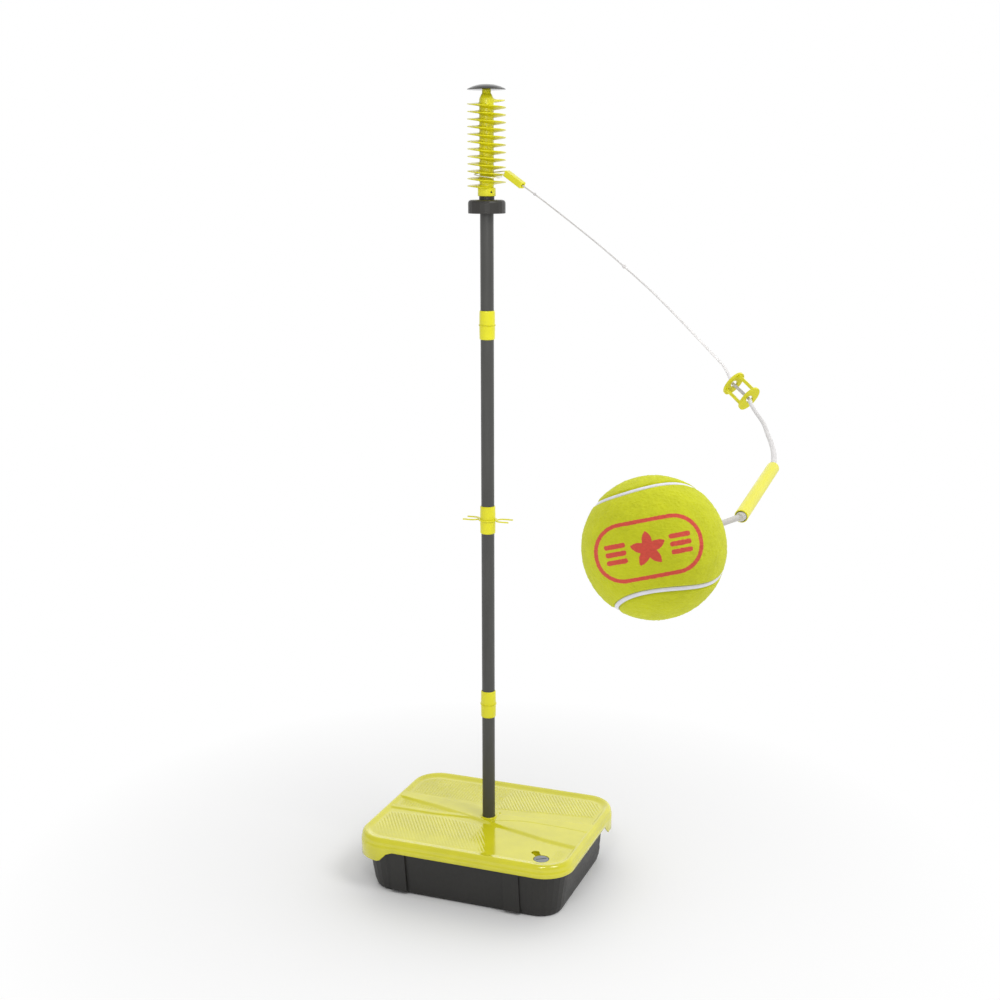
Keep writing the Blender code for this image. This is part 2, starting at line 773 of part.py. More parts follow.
def make_cap(black, screw, parent):
    """The domed cap, with a stub down into the head's neck and a screw in its recess."""
    bm = turned(
        [
            (0.0024, CAP_TOP_Z - 0.0042),
            (0.0108, CAP_TOP_Z - 0.0042),
            (0.0110, CAP_TOP_Z - 0.0006),
            (0.0122, CAP_TOP_Z),
            (0.0200, CAP_TOP_Z - 0.0012),
            (0.0300, CAP_TOP_Z - 0.0043),
            (0.0380, CAP_TOP_Z - 0.0082),
            (CAP_RADIUS, CAP_TOP_Z - 0.0096),
            (CAP_RADIUS - 0.0008, CAP_Z + GAP),
            (0.0054, CAP_Z + GAP),
            (0.0054, 1.6800),
            (0.0024, 1.6800),
        ],
        32,
    )
    solid("top_cap", bm, black, parent)
    head_z = CAP_TOP_Z - 0.0042 + GAP
    screw_body = turned(
        [
            (0.0, 1.6700),
            (0.0010, 1.6700),
            (0.0021, 1.6725),
            (0.0021, head_z),
            (0.0068, head_z),
            (0.0068, head_z + 0.0010),
            (0.0045, head_z + 0.0026),
            (0.0, head_z + 0.0030),
        ],
        24,
        closed=False,
    )
    made = solid("cap_screw", screw_body, screw, parent)
    cross = solid("cross_slot", box((-0.0034, -0.0006, head_z + 0.0012), (0.0034, 0.0006, 1.72)))
    combine(made, cross, "DIFFERENCE")


# ---- Winding loop, tether and ball ----


def loop_points():
    """The wire's centre line: out of the sleeve, once round the core in the fin's groove, and back."""
    heading = math.atan2(LOOP_END.y, LOOP_END.x)
    side = (
        (0.0452, 0.0024),
        (0.0410, 0.0052),
        (0.0330, 0.0125),
        (0.0220, 0.0195),
        (0.0080, 0.0228),
        (-0.0080, 0.0215),
        (-0.0205, 0.0145),
        (-0.0270, 0.0050),
    )
    plan = list(side) + [(x, -y) for x, y in reversed(side)]
    middle = fin_z(heading + 2 * math.pi * 10)
    route = []
    for x, y in plan:
        turn = math.atan2(y, x) % (2 * math.pi)
        height = middle + FIN_PITCH * (0.5 - turn / (2 * math.pi))
        # Past the fin's edge the two strands come together at the sleeve.
        out = max(0.0, min(1.0, (math.hypot(x, y) - 0.0400) / 0.0045))
        height += (LOOP_END.z - height) * 0.85 * out
        lift = 0.0018 * math.sin(turn / 2) ** 2
        place = Matrix.Rotation(heading, 3, "Z") @ Vector((x, y, 0))
        route.append(Vector((place.x, place.y, height + lift)))
    return smooth_route(route, 0.0045)


def square_tube(start, end, width):
    """A square bar between two points, with its edges broken."""
    length = (end - start).length
    bm = box((-width / 2, -width / 2, 0), (width / 2, width / 2, length))
    bmesh.ops.bevel(bm, geom=list(bm.edges), offset=0.0008, segments=1, affect="EDGES")
    return moved(bm, along(end - start, start))


def make_loop_sleeve(finish, parent):
    axis = (LOOP_SLEEVE_END - LOOP_END).normalized()
    start = LOOP_END + axis * 0.0012
    sleeve = solid("loop_sleeve", square_tube(start, LOOP_SLEEVE_END, LOOP_SLEEVE_WIDTH), finish, parent)
    mouth = moved(rod(0.0042, -0.0060, 0.0050, 16), along(axis, LOOP_SLEEVE_END))
    combine(sleeve, solid("loop_sleeve_mouth", mouth), "DIFFERENCE")
    return sleeve


def make_knot(name, at, way, radius, finish, parent):
    """A short barrel of cord, with a bore that the cord passes through."""
    bore = CORD_RADIUS + GAP
    half = radius * 1.1
    bm = turned(
        [(bore, -half), (radius * 0.85, -half), (radius, 0), (radius * 0.85, half), (bore, half)], 12
    )
    return solid(name, moved(bm, along(way, at)), finish, parent)


def adjuster_frame():
    """Length, width and thickness directions of the adjuster."""
    length = ADJUSTER_AXIS
    width = (ADJUSTER_SIDE - length * ADJUSTER_SIDE.dot(length)).normalized()
    return Matrix(
        (
            (width.x, length.cross(width).x, length.x, ADJUSTER_AT.x),
            (width.y, length.cross(width).y, length.y, ADJUSTER_AT.y),
            (width.z, length.cross(width).z, length.z, ADJUSTER_AT.z),
            (0, 0, 0, 1),
        )
    )


def make_adjuster(finish, parent):
    """A reel: two oval flanges joined by two side bars. The cord goes in through one flange and out of the other."""
    half = ADJUSTER_LENGTH / 2
    long_radius, short_radius, thickness = 0.0120, 0.0060, 0.0030
    pieces = []
    for end in (-1, 1):
        low = end * half - (thickness if end > 0 else 0)
        flange = rod(1.0, 0.0, thickness, 24)
        moved(flange, Matrix.Diagonal((long_radius, short_radius, 1.0, 1.0)))
        moved(flange, Matrix.Translation((0, 0, low)))
        pieces.append(flange)
    for side in (-1, 1):
        bar_at = side * 0.0082
        pieces.append(
            box((bar_at - 0.0014, -0.0030, -half + 0.001), (bar_at + 0.0014, 0.0030, half - 0.001))
        )
    frame = adjuster_frame()
    reel = solid("tether_adjuster", moved(pieces[0], frame), finish, parent)
    for number, piece in enumerate(pieces[1:]):
        combine(reel, solid(f"reel_{number}", moved(piece, frame)), "UNION")
    bore = solid("reel_bore", moved(rod(0.0034, -half - 0.01, half + 0.01, 16), frame))
    combine(reel, bore, "DIFFERENCE")
    return reel


def make_ball_sleeve(finish, parent):
    axis = (SLEEVE_MOUTH - SLEEVE_TOP).normalized()
    length = (SLEEVE_MOUTH - SLEEVE_TOP).length
    bm = turned(
        [
            (0.0, 0.0),
            (SLEEVE_RADIUS - 0.0008, 0.0),
            (SLEEVE_RADIUS, 0.0008),
            (SLEEVE_RADIUS, length - 0.0004),
            (SLEEVE_RADIUS - 0.0002, length),
            (KNOT_RADIUS + 0.0004, length),
            (KNOT_RADIUS + 0.0004, length - 0.0045),
            (0.0, length - 0.0045),
        ],
        20,
        closed=False,
    )
    return solid("ball_sleeve", moved(bm, along(axis, SLEEVE_TOP)), finish, parent)


def seam_point(t, radius):
    """A point of the closed seam of a tennis ball: one wave over and under the ball's equator."""
    a, b = 0.85, 0.15
    c = 2 * math.sqrt(a * b)
    place = Vector(
        (
            a * math.cos(t) + b * math.cos(3 * t),
            a * math.sin(t) - b * math.sin(3 * t),
            c * math.sin(2 * t),
        )
    )
    return place.normalized() * radius


def ball_turn():
    """How the ball is turned on its tether, as it is seen in play."""
    angles = (("Z", 16), ("Y", -64), ("X", 55))
    turn = Matrix.Identity(4)
    for axis, degrees in angles:
        turn = turn @ Matrix.Rotation(math.radians(degrees), 4, axis)
    return turn


def seam_ring(name, half_width, steps=40):
    """A square-section ring along the seam, deep enough to cross the felt."""
    bm = bmesh.new()
    sections = []
    for step in range(steps):
        t = 2 * math.pi * step / steps
        out = seam_point(t, 1.0)
        way = (seam_point(t + 0.01, 1.0) - seam_point(t - 0.01, 1.0)).normalized()
        across = out.cross(way).normalized()
        corners = (
            (FELT_INNER - 0.0012, -half_width),
            (FELT_INNER - 0.0012, half_width),
            (BALL_RADIUS + 0.002, half_width),
            (BALL_RADIUS + 0.002, -half_width),
        )
        sections.append([bm.verts.new(out * r + across * w) for r, w in corners])
    for step in range(steps):
        low, high = sections[step], sections[(step + 1) % steps]
        for i in range(4):
            bm.faces.new((low[i], low[(i + 1) % 4], high[(i + 1) % 4], high[i]))
    return solid(name, moved(bm, Matrix.Translation(BALL_AT) @ ball_turn()))


def shell(name, inner, outer, finish, parent, columns, rows):
    """A hollow ball with an opening where the cord goes in, so that its inside isn't sealed."""
    made = solid(name, ball_of(outer, BALL_AT, columns, rows), finish, parent)
    combine(made, solid(f"{name}_inside", ball_of(inner, BALL_AT, columns, rows)), "DIFFERENCE")
    way = SLEEVE_MOUTH - BALL_AT
    hole = moved(rod(CORD_RADIUS + 0.0006, 0.02, 0.04, 12), along(way, BALL_AT))
    combine(made, solid(f"{name}_hole", hole), "DIFFERENCE")
    return made


def split_bodies(obj, names, finish, parent):
    """Turns an object of several separate bodies into one object for each, in the order of their X."""
    evaluated = obj.evaluated_get(bpy.context.evaluated_depsgraph_get())
    whole = bmesh.new()
    whole.from_mesh(evaluated.to_mesh())
    body_of, count = {}, 0
    for face in whole.faces:
        if face.index in body_of:
            continue
        todo = [face]
        while todo:
            at = todo.pop()
            if at.index in body_of:
                continue
            body_of[at.index] = count
            todo += [near for edge in at.edges for near in edge.link_faces]
        count += 1
    for number, name in zip(range(count), names):
        part = whole.copy()
        part.faces.ensure_lookup_table()
        others = [face for face in part.faces if body_of[face.index] != number]
        bmesh.ops.delete(part, geom=others, context="FACES")
        solid(name, part, finish, parent)
    whole.free()
    obj.hide_render = True


def make_ball(felt, rubber, seam_white, cord, parent):
    shell("ball_core", *CORE_SHELL, rubber, parent, 24, 14)
    panels = shell("felt_blank", FELT_INNER, BALL_RADIUS, None, None, 24, 14)
    combine(panels, seam_ring("seam_groove", SEAM_HALF_WIDTH), "DIFFERENCE")
    split_bodies(panels, ("felt_panel_front", "felt_panel_back"), felt, parent)
    seam = shell("ball_seam", FELT_INNER, BALL_RADIUS - 0.0004, seam_white, parent, 24, 14)
    combine(seam, seam_ring("seam_band", SEAM_HALF_WIDTH - GAP), "INTERSECT")
    way = (BALL_AT - SLEEVE_MOUTH).normalized()
    solid("end_knot", ball_of(KNOT_RADIUS, SLEEVE_MOUTH, 12, 8), cord, parent)
    start = SLEEVE_MOUTH + way * (KNOT_RADIUS + GAP)
    end = BALL_AT - way * (CORE_SHELL[0] + 0.002)
    tube("ball_link", [start, (start + end) / 2, end], CORD_RADIUS, cord, parent)


def make_tether(cord, yellow, upper, lower):
    """The cord's two stretches, the knots on it and the adjuster between them."""
    points = smooth_route(UPPER_ROUTE, 0.031)
    points[0] -= (points[1] - points[0]).normalized() * 0.0010
    points[-1] -= (points[-1] - points[-2]).normalized() * BEND_GAP / 2
    tube("tether_upper", points, CORD_RADIUS, cord, upper)
    for name, index in (("top_knot", 1), ("mid_knot", 5)):
        before, at, after = (Vector(UPPER_ROUTE[index + k]) for k in (-1, 0, 1))
        make_knot(name, at, after - before, 0.0031, cord, upper)
    make_adjuster(yellow, upper)
    points = smooth_route(LOWER_ROUTE, 0.024)
    points[0] += (points[1] - points[0]).normalized() * BEND_GAP / 2
    points[-1] -= (points[-1] - points[-2]).normalized() * TILT_GAP
    tube("tether_lower", points, CORD_RADIUS, cord, lower)
    make_ball_sleeve(yellow, lower)


def main():
    clear_scene()
    yellow = material("yellow_plastic", YELLOW, 0.35)
    black = material("black_plastic", BLACK, 0.45)
    steel = material("dark_pole", (0.072, 0.072, 0.072), 0.40, 0.2)
    grey = material("grey_plastic", (0.19, 0.21, 0.22), 0.40)
    rubber = material("black_rubber", (0.020, 0.020, 0.020), 0.80)
    wire = material("bright_wire", (0.60, 0.60, 0.58), 0.30, 1.0)
    cord = material("white_cord", (0.78, 0.76, 0.75), 0.70)
    felt = material("yellow_felt", (0.60, 0.66, 0.010), 0.95)
    seam_white = material("seam_rubber", (0.80, 0.80, 0.85), 0.60)
    core = material("ball_rubber", (0.10, 0.10, 0.09), 0.80)

    make_tank(black)
    make_lid(yellow)
    make_socket_bush(yellow)
    make_filler_well(yellow)
    plug_pivot = pivot("plug_pivot", (*PLUG_AT, LID_FIELD_Z))
    make_filler_plug(grey, rubber, plug_pivot)

    names = ("lower", "lower_middle", "upper_middle", "top")
    feet = [POLE_FOOT_Z] + [seam + 0.0045 for seam in SEAMS]
    heads = [seam - 0.0028 for seam in SEAMS] + [STOP_Z[1] - 0.004]
    joints = [pivot(f"{name}_pole_pivot", (0, 0, foot)) for name, foot in zip(names, feet)]
    for name, low, high, parent in zip(names, feet, heads, joints):
        make_pole(f"pole_{name}", low, high, steel, parent)
    for level, seam, below, above in zip(("low", "middle", "high"), SEAMS, joints, joints[1:]):
        make_coupler_socket(f"coupler_{level}_socket", seam, yellow, below, flange=level != "middle")
        make_coupler_spigot(f"coupler_{level}_spigot", seam, yellow, above, flange=level != "middle")
    make_hanger(SEAMS[1], yellow, pivot("hanger_pivot", (0, 0, SEAMS[1])))

    top = joints[-1]
    make_neck(black, top)
    make_head(yellow, top)
    make_head_screw(black, top)
    make_cap(black, rubber, top)
    make_stop(black, pivot("winding_pivot", (0, 0, STOP_Z[0])))

    loop = pivot("loop_pivot", (0, 0, LOOP_END.z))
    tube("wire_loop", loop_points(), WIRE_RADIUS, wire, loop)
    make_loop_sleeve(yellow, loop)
    upper = pivot("tether_pivot", LOOP_SLEEVE_END)
    lower = pivot("bend_pivot", LOWER_ROUTE[0])
    make_tether(cord, yellow, upper, lower)
    make_ball(felt, core, seam_white, cord, pivot("ball_pivot", SLEEVE_MOUTH))


main()
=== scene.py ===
"""Looks of the garden tetherball set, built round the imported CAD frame.

Metres, +Z up, the origin on the floor under the pole. Sizes repeat the CAD's where a piece has to fit it.
"""

import math

import bmesh
import bpy
import numpy as np
from mathutils import Matrix, Vector, noise
from mathutils.kdtree import KDTree


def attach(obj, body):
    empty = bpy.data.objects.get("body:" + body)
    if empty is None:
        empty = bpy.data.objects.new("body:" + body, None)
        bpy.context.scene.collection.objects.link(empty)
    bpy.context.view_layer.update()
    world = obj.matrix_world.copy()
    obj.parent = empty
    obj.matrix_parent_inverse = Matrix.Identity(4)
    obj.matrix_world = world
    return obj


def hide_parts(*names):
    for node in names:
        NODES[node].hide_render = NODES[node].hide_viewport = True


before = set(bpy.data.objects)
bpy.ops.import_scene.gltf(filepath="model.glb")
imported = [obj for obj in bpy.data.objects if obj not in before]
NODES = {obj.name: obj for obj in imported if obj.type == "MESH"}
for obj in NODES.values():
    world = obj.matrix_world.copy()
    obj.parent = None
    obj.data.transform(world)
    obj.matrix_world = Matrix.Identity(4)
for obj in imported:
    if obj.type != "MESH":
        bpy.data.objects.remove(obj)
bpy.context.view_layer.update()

# Camera, as it stands to the object in the photograph
CAMERA_AT = (1.1414, -2.9038, 1.5510)
CAMERA_TILT_DEG = 77.4
CAMERA_TURN_DEG = 20.98
CAMERA_ROLL_DEG = -0.085
CAMERA_LENS_MM = 54.0

# Lid
LID_HALF = (0.244, 0.1975)
LID_CORNER = 0.066
CREST_INSET = 0.0095
LID_FIELD_Z = 0.1255
LID_CREST_Z = 0.1300
LID_WALL = 0.0025
FIELD_HALF = (0.224, 0.1685)
FIELD_CORNER = 0.044
SKIRT_Z = 0.103
SKIRT_DROP = 0.024
RAMP_AT = (0.154, 0.090)  # the |x| and |y| where the skirt's drop begins
RAMP_RUN = 0.031
GRID_STEP = 0.0013
MARKS_AT = (0.004, -0.0102)  # where the field's bands and ribs have their origin
RIB_PITCH = 0.0067
RIB_WAY = Vector((0.845, 0.535))  # across the grip ribs
RIB_HEIGHT = 0.0013
POLE_HOLE = 0.0172
PLUG_AT = Vector((0.1774, -0.1507))
LOBE_AT = Vector((0.1565, -0.1277))
PLUG_HOLE = 0.0170
LOBE_HOLE = 0.0090
THROAT = 0.0065

# Head
CORE_RADIUS = 0.0147
FIN_RADIUS = 0.0395
FIN_PITCH = 0.0147
FIN_TOP_Z = 1.677
FIN_START = math.radians(21.0)
FIN_TURNS = 11.8
HEAD_Z = 1.4885
SCREW_Z = 1.4965
SCREW_HEADING = math.radians(-37.6)

# Tether
CORD_RADIUS = 0.0015
BEND_GAP = 0.0010
TILT_GAP = 0.0009
SLEEVE_MOUTH = Vector((0.9995, -2.2130, 1.3872))
UPPER_ROUTE = (
    (0.0890, -0.0300, 1.5100),
    (0.1230, -0.0540, 1.4940),
    (0.1880, -0.1080, 1.4630),
    (0.2620, -0.1960, 1.4340),
    (0.3460, -0.3240, 1.4080),
    (0.4310, -0.4720, 1.3850),
    (0.5390, -0.6890, 1.3630),
    (0.6420, -0.9270, 1.3480),
    (0.7440, -1.1960, 1.3430),
    (0.8030, -1.3710, 1.3460),
    (0.8380, -1.5020, 1.3530),
    (0.8510, -1.5560, 1.3580),
    (0.8569, -1.5749, 1.3580),
    (0.8670, -1.5860, 1.3530),
    (0.8770, -1.5975, 1.3480),
    (0.8810, -1.6120, 1.3480),
)
LOWER_ROUTE = (
    (0.8815, -1.6130, 1.3482),
    (0.8890, -1.6540, 1.3545),
    (0.9060, -1.7230, 1.3600),
    (0.9370, -1.8410, 1.3690),
    (0.9550, -1.9200, 1.3760),
    (0.9770, -2.0190, 1.3860),
    (0.9910, -2.0880, 1.3930),
    (1.0010, -2.1430, 1.3980),
)
TOP_KNOT_INDEX = 1
MID_KNOT_INDEX = 5

# Ball
BALL_AT = Vector((0.9680, -2.2540, 1.3790))
BALL_RADIUS = 0.0335
SEAM_HALF_WIDTH = 0.0010
BALL_TURN_DEG = (("Z", 16), ("Y", -64), ("X", 55))

# Colours, linear
YELLOW = (0.74, 0.70, 0.008)
TANK_BLACK = (0.016, 0.015, 0.013)
POLE_GREY = (0.062, 0.062, 0.058)
FELT_YELLOW = (0.60, 0.63, 0.004)
PRINT_RED = (0.72, 0.085, 0.055)
CORD_WHITE = (0.62, 0.60, 0.59)


# ---- Mesh helpers ----


def add_piece(name, mesh, look, body, slot, *replaced, smooth_deg=40):
    """Links a finished mesh as a piece that rides on a body and stands for CAD nodes."""
    mesh.materials.append(look)
    mesh.shade_smooth()
    mesh.set_sharp_from_angle(angle=math.radians(smooth_deg))
    piece = bpy.data.objects.new(name, mesh)
    bpy.context.scene.collection.objects.link(piece)
    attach(piece, body)
    if replaced:
        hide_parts(*replaced)
    return piece


def mesh_of(name, points, faces):
    mesh = bpy.data.meshes.new(name)
    mesh.from_pydata([tuple(p) for p in points], [], [tuple(f) for f in faces])
    mesh.validate()
    bm = bmesh.new()
    bm.from_mesh(mesh)
    bmesh.ops.recalc_face_normals(bm, faces=bm.faces)
    bm.to_mesh(mesh)
    bm.free()
    return mesh


def turned(profile, steps):
    """A profile of (radius, z) points turned about Z, which starts and ends on the axis."""
    bm = bmesh.new()
    verts = [bm.verts.new((r, 0.0, z)) for r, z in profile]
    edges = [bm.edges.new(pair) for pair in zip(verts, verts[1:])]
    bmesh.ops.spin(
        bm, geom=verts + edges, cent=(0, 0, 0), axis=(0, 0, 1),
        angle=2 * math.pi, steps=steps, use_merge=True,
    )
    bmesh.ops.remove_doubles(bm, verts=bm.verts, dist=1e-6)
    bmesh.ops.recalc_face_normals(bm, faces=bm.faces)
    mesh = bpy.data.meshes.new("turned")
    bm.to_mesh(mesh)
    bm.free()
    return mesh


def swept(sections, closed=False):
    """Points and faces of a skin over sections. Closed joins the last section to the first."""
    size = len(sections[0])
    points = [p for section in sections for p in section]
    faces = []
    last = len(sections) if closed else len(sections) - 1
    for i in range(last):
        a, b = i * size, (i + 1) % len(sections) * size
        faces += [(a + k, a + (k + 1) % size, b + (k + 1) % size, b + k) for k in range(size)]
    if not closed:
        faces += [tuple(range(size)), tuple(range(len(points) - size, len(points)))]
    return points, faces


def combined(mesh, other, operation):
    """The Boolean UNION or DIFFERENCE of two meshes, as a new mesh."""
    whole = bpy.data.objects.new("whole", mesh)
    helper = bpy.data.objects.new("helper", other)
    for obj in (whole, helper):
        bpy.context.scene.collection.objects.link(obj)
    boolean = whole.modifiers.new("boolean", "BOOLEAN")
    boolean.object = helper
    boolean.operation = operation
    bpy.context.view_layer.update()
    made = bpy.data.meshes.new_from_object(whole.evaluated_get(bpy.context.evaluated_depsgraph_get()))
    for obj in (whole, helper):
        bpy.data.objects.remove(obj)
    return made


def catmull_rom(a, b, c, d, t):
    """Centripetal Catmull-Rom between b and c, as the CAD's cords have it."""
    tb = (b - a).length ** 0.5
    tc = tb + (c - b).length ** 0.5
    td = tc + (d - c).length ** 0.5
    u = tb + (tc - tb) * t
    ab = a.lerp(b, u / tb)
    bc = b.lerp(c, (u - tb) / (tc - tb))
    cd = c.lerp(d, (u - tc) / (td - tc))
    abc = ab.lerp(bc, u / tc)
    bcd = bc.lerp(cd, (u - tb) / (td - tb))
    return abc.lerp(bcd, (u - tb) / (tc - tb))


def smooth_route(route, step):
    points = [Vector(p) for p in route]
    padded = [2 * points[0] - points[1], *points, 2 * points[-1] - points[-2]]
    out = [points[0]]
    for a, b, c, d in zip(padded, padded[1:], padded[2:], padded[3:]):
        count = max(2, round((c - b).length / step))
        out += [catmull_rom(a, b, c, d, k / count) for k in range(1, count + 1)]
    return out


def frames_along(points):
    """(point, side, other side) at each point of a line, turning as little as it can."""
    side = (points[1] - points[0]).orthogonal().normalized()
    frames = []
    for i, point in enumerate(points):
        way = (points[min(i + 1, len(points) - 1)] - points[max(i - 1, 0)]).normalized()
        side = (side - way * side.dot(way)).normalized()
        frames.append((point, side, way.cross(side)))
    return frames


# ---- Materials ----


class Look:
    """A material under construction, with short ways to add and join its nodes."""

    def __init__(self, name, colour, roughness, **sockets):
        self.material = bpy.data.materials.new(name)
        self.material.use_nodes = True
        self.tree = self.material.node_tree
        self.shader = self.tree.nodes["Principled BSDF"]
        self.shader.inputs["Base Color"].default_value = (*colour, 1.0)
        self.shader.inputs["Roughness"].default_value = roughness
        for socket, value in sockets.items():
            self.shader.inputs[socket.replace("_", " ")].default_value = value
        self.place = self.tree.nodes.new("ShaderNodeTexCoord").outputs["Object"]

    def join(self, source, target):
        self.tree.links.new(source, target)

    def noise(self, size, detail=3.0, roughness=0.55, stretch=(1, 1, 1)):
        """A noise whose features are about a size across, in metres."""
        mapping = self.tree.nodes.new("ShaderNodeMapping")
        mapping.inputs["Scale"].default_value = stretch
        node = self.tree.nodes.new("ShaderNodeTexNoise")
        node.inputs["Scale"].default_value = 1.0 / size
        node.inputs["Detail"].default_value = detail
        node.inputs["Roughness"].default_value = roughness
        self.join(self.place, mapping.inputs["Vector"])
        self.join(mapping.outputs["Vector"], node.inputs["Vector"])
        return node.outputs["Fac"]

    def attribute(self, name):
        node = self.tree.nodes.new("ShaderNodeAttribute")
        node.attribute_name = name
        return node.outputs["Fac"]

    def math(self, operation, first, second):
        node = self.tree.nodes.new("ShaderNodeMath")
        node.operation = operation
        for socket, value in zip(node.inputs, (first, second)):
            if isinstance(value, (int, float)):
                socket.default_value = value
            else:
                self.join(value, socket)
        return node.outputs["Value"]

    def spread(self, value, low, high, start=0.3, end=0.7):
        """A value from start to end taken to a range from low to high."""
        node = self.tree.nodes.new("ShaderNodeMapRange")
        for socket, number in zip(node.inputs[1:5], (start, end, low, high)):
            socket.default_value = number
        self.join(value, node.inputs["Value"])
        return node.outputs["Result"]

    def mix(self, share, first, second):
        """A blend of two colours, each a colour or a node's output."""
        node = self.tree.nodes.new("ShaderNodeMix")
        node.data_type = "RGBA"
        self.join(share, node.inputs["Factor"])
        colour_inputs = [s for s in node.inputs if s.type == "RGBA"]
        for socket, value in zip(colour_inputs, (first, second)):
            if isinstance(value, tuple):
                socket.default_value = (*value, 1.0)
            else:
                self.join(value, socket)
        return next(s for s in node.outputs if s.type == "RGBA")

    def colour(self, value):
        self.join(value, self.shader.inputs["Base Color"])

    def rough(self, value):
        self.join(value, self.shader.inputs["Roughness"])

    def bump(self, height, strength, distance):
        """Adds a bump over those that are there already."""
        node = self.tree.nodes.new("ShaderNodeBump")
        node.inputs["Strength"].default_value = strength
        node.inputs["Distance"].default_value = distance
        self.join(height, node.inputs["Height"])
        before = self.shader.inputs["Normal"]
        if before.is_linked:
            self.join(before.links[0].from_socket, node.inputs["Normal"])
        self.join(node.outputs["Normal"], before)


def shade(colour, factor):
    return tuple(c * factor for c in colour)


def moulded_plastic(name, colour, low, high, grain=0.00035, grain_strength=0.025, **sockets):
    """Moulded plastic: fine spark grain, slow colour and gloss drift, and faint handling marks."""
    look = Look(name, colour, (low + high) / 2, **sockets)
    drift = look.noise(0.05, detail=2.0)
    look.colour(look.mix(look.spread(drift, 0.0, 1.0), shade(colour, 0.94), shade(colour, 1.04)))
    scuffs = look.noise(0.004, detail=6.0, roughness=0.7, stretch=(1, 1, 0.35))
    look.rough(look.spread(scuffs, low, high))
    look.bump(look.noise(grain, detail=2.0), grain_strength, 0.00004)
    look.bump(look.noise(0.012, detail=1.0), 0.05, 0.0004)
    return look


def lid_plastic():
    """The yellow plastic with a fine diamond grip where the lid's mesh marks it."""
    look = moulded_plastic("lid_yellow", shade(YELLOW, 0.93), 0.10, 0.16, grain_strength=0.02, IOR=1.75)
    split = look.tree.nodes.new("ShaderNodeSeparateXYZ")
    look.join(look.place, split.inputs["Vector"])
    x, y = split.outputs["X"], split.outputs["Y"]
    waves = []
    for across, along in ((RIB_WAY.x, RIB_WAY.y), (RIB_WAY.y, -RIB_WAY.x)):
        run = look.math("ADD", look.math("MULTIPLY", x, across), look.math("MULTIPLY", y, along))
        turns = look.math("MULTIPLY", run, 2 * math.pi / (RIB_PITCH / 2))
        waves.append(look.math("SINE", turns, 0.0))
    grip = look.math("MULTIPLY", look.math("MAXIMUM", *waves), look.attribute("grip"))
    look.bump(grip, 0.7, 0.0004)
    return look.material


def pole_coating():
    """Grey powder coat on steel tube: fine orange peel and long faint wipe marks."""
    look = Look("pole_coating", POLE_GREY, 0.40, Metallic=0.15)
    drift = look.noise(0.03, detail=3.0, stretch=(1, 1, 0.15))
    look.colour(look.mix(look.spread(drift, 0.0, 1.0), shade(POLE_GREY, 0.86), shade(POLE_GREY, 1.12)))
    look.rough(look.spread(look.noise(0.006, detail=5.0, stretch=(1, 1, 0.2)), 0.34, 0.50))
    look.bump(look.noise(0.0009, detail=2.0), 0.18, 0.00008)
    return look.material


def rubber(name, colour, roughness=0.75):
    look = Look(name, colour, roughness)
    look.colour(look.mix(look.noise(0.003), shade(colour, 0.85), shade(colour, 1.15)))
    look.bump(look.noise(0.0004), 0.25, 0.00006)
    return look.material


def steel(name, colour, roughness):
    """Drawn or blackened steel, with fine scratches."""
    look = Look(name, colour, roughness, Metallic=1.0)
    scratches = look.noise(0.0015, detail=5.0, stretch=(1, 1, 6))
    look.rough(look.spread(scratches, roughness * 0.75, roughness * 1.4))
    look.bump(look.noise(0.0005, detail=3.0), 0.10, 0.00003)
    return look.material


def cord_yarn():
    """Braided nylon: fine yarn lines and soiling, over strands that are in the mesh."""
    look = Look("cord_yarn", CORD_WHITE, 0.62, Sheen_Weight=0.25, Sheen_Roughness=0.4)
    soil = look.spread(look.noise(0.02, detail=4.0), 0.0, 1.0)
    look.colour(look.mix(soil, shade(CORD_WHITE, 0.86), shade(CORD_WHITE, 1.05)))
    look.bump(look.noise(0.00035, detail=4.0), 0.3, 0.00010)
    return look.material


def felt_wool():
    """Woolly yellow felt with matted fibres, and the red print where the ball's mesh marks it."""
    look = Look("felt_wool", FELT_YELLOW, 0.92, Sheen_Weight=0.18, Sheen_Roughness=0.35)
    look.shader.inputs["Sheen Tint"].default_value = (0.95, 1.0, 0.55, 1.0)
    fibres = look.noise(0.0016, detail=8.0, roughness=0.7, stretch=(1, 1, 2.6))
    clumps = look.noise(0.007, detail=4.0, roughness=0.6)
    tone = look.mix(look.spread(clumps, 0.0, 1.0), shade(FELT_YELLOW, 0.90), shade(FELT_YELLOW, 1.06))
    tone = look.mix(look.spread(fibres, 0.0, 0.5), tone, (0.70, 0.74, 0.03))
    ragged = look.math("ADD", look.attribute("print_edge"), look.spread(fibres, -0.00018, 0.00018))
    inked = look.spread(ragged, 1.0, 0.0, -0.00008, 0.00008)
    ink = look.mix(look.spread(fibres, 0.0, 1.0), shade(PRINT_RED, 0.9), shade(PRINT_RED, 1.12))
    look.colour(look.mix(inked, tone, ink))
    look.bump(clumps, 0.35, 0.0008)
    look.bump(fibres, 0.9, 0.0006)
    return look.material


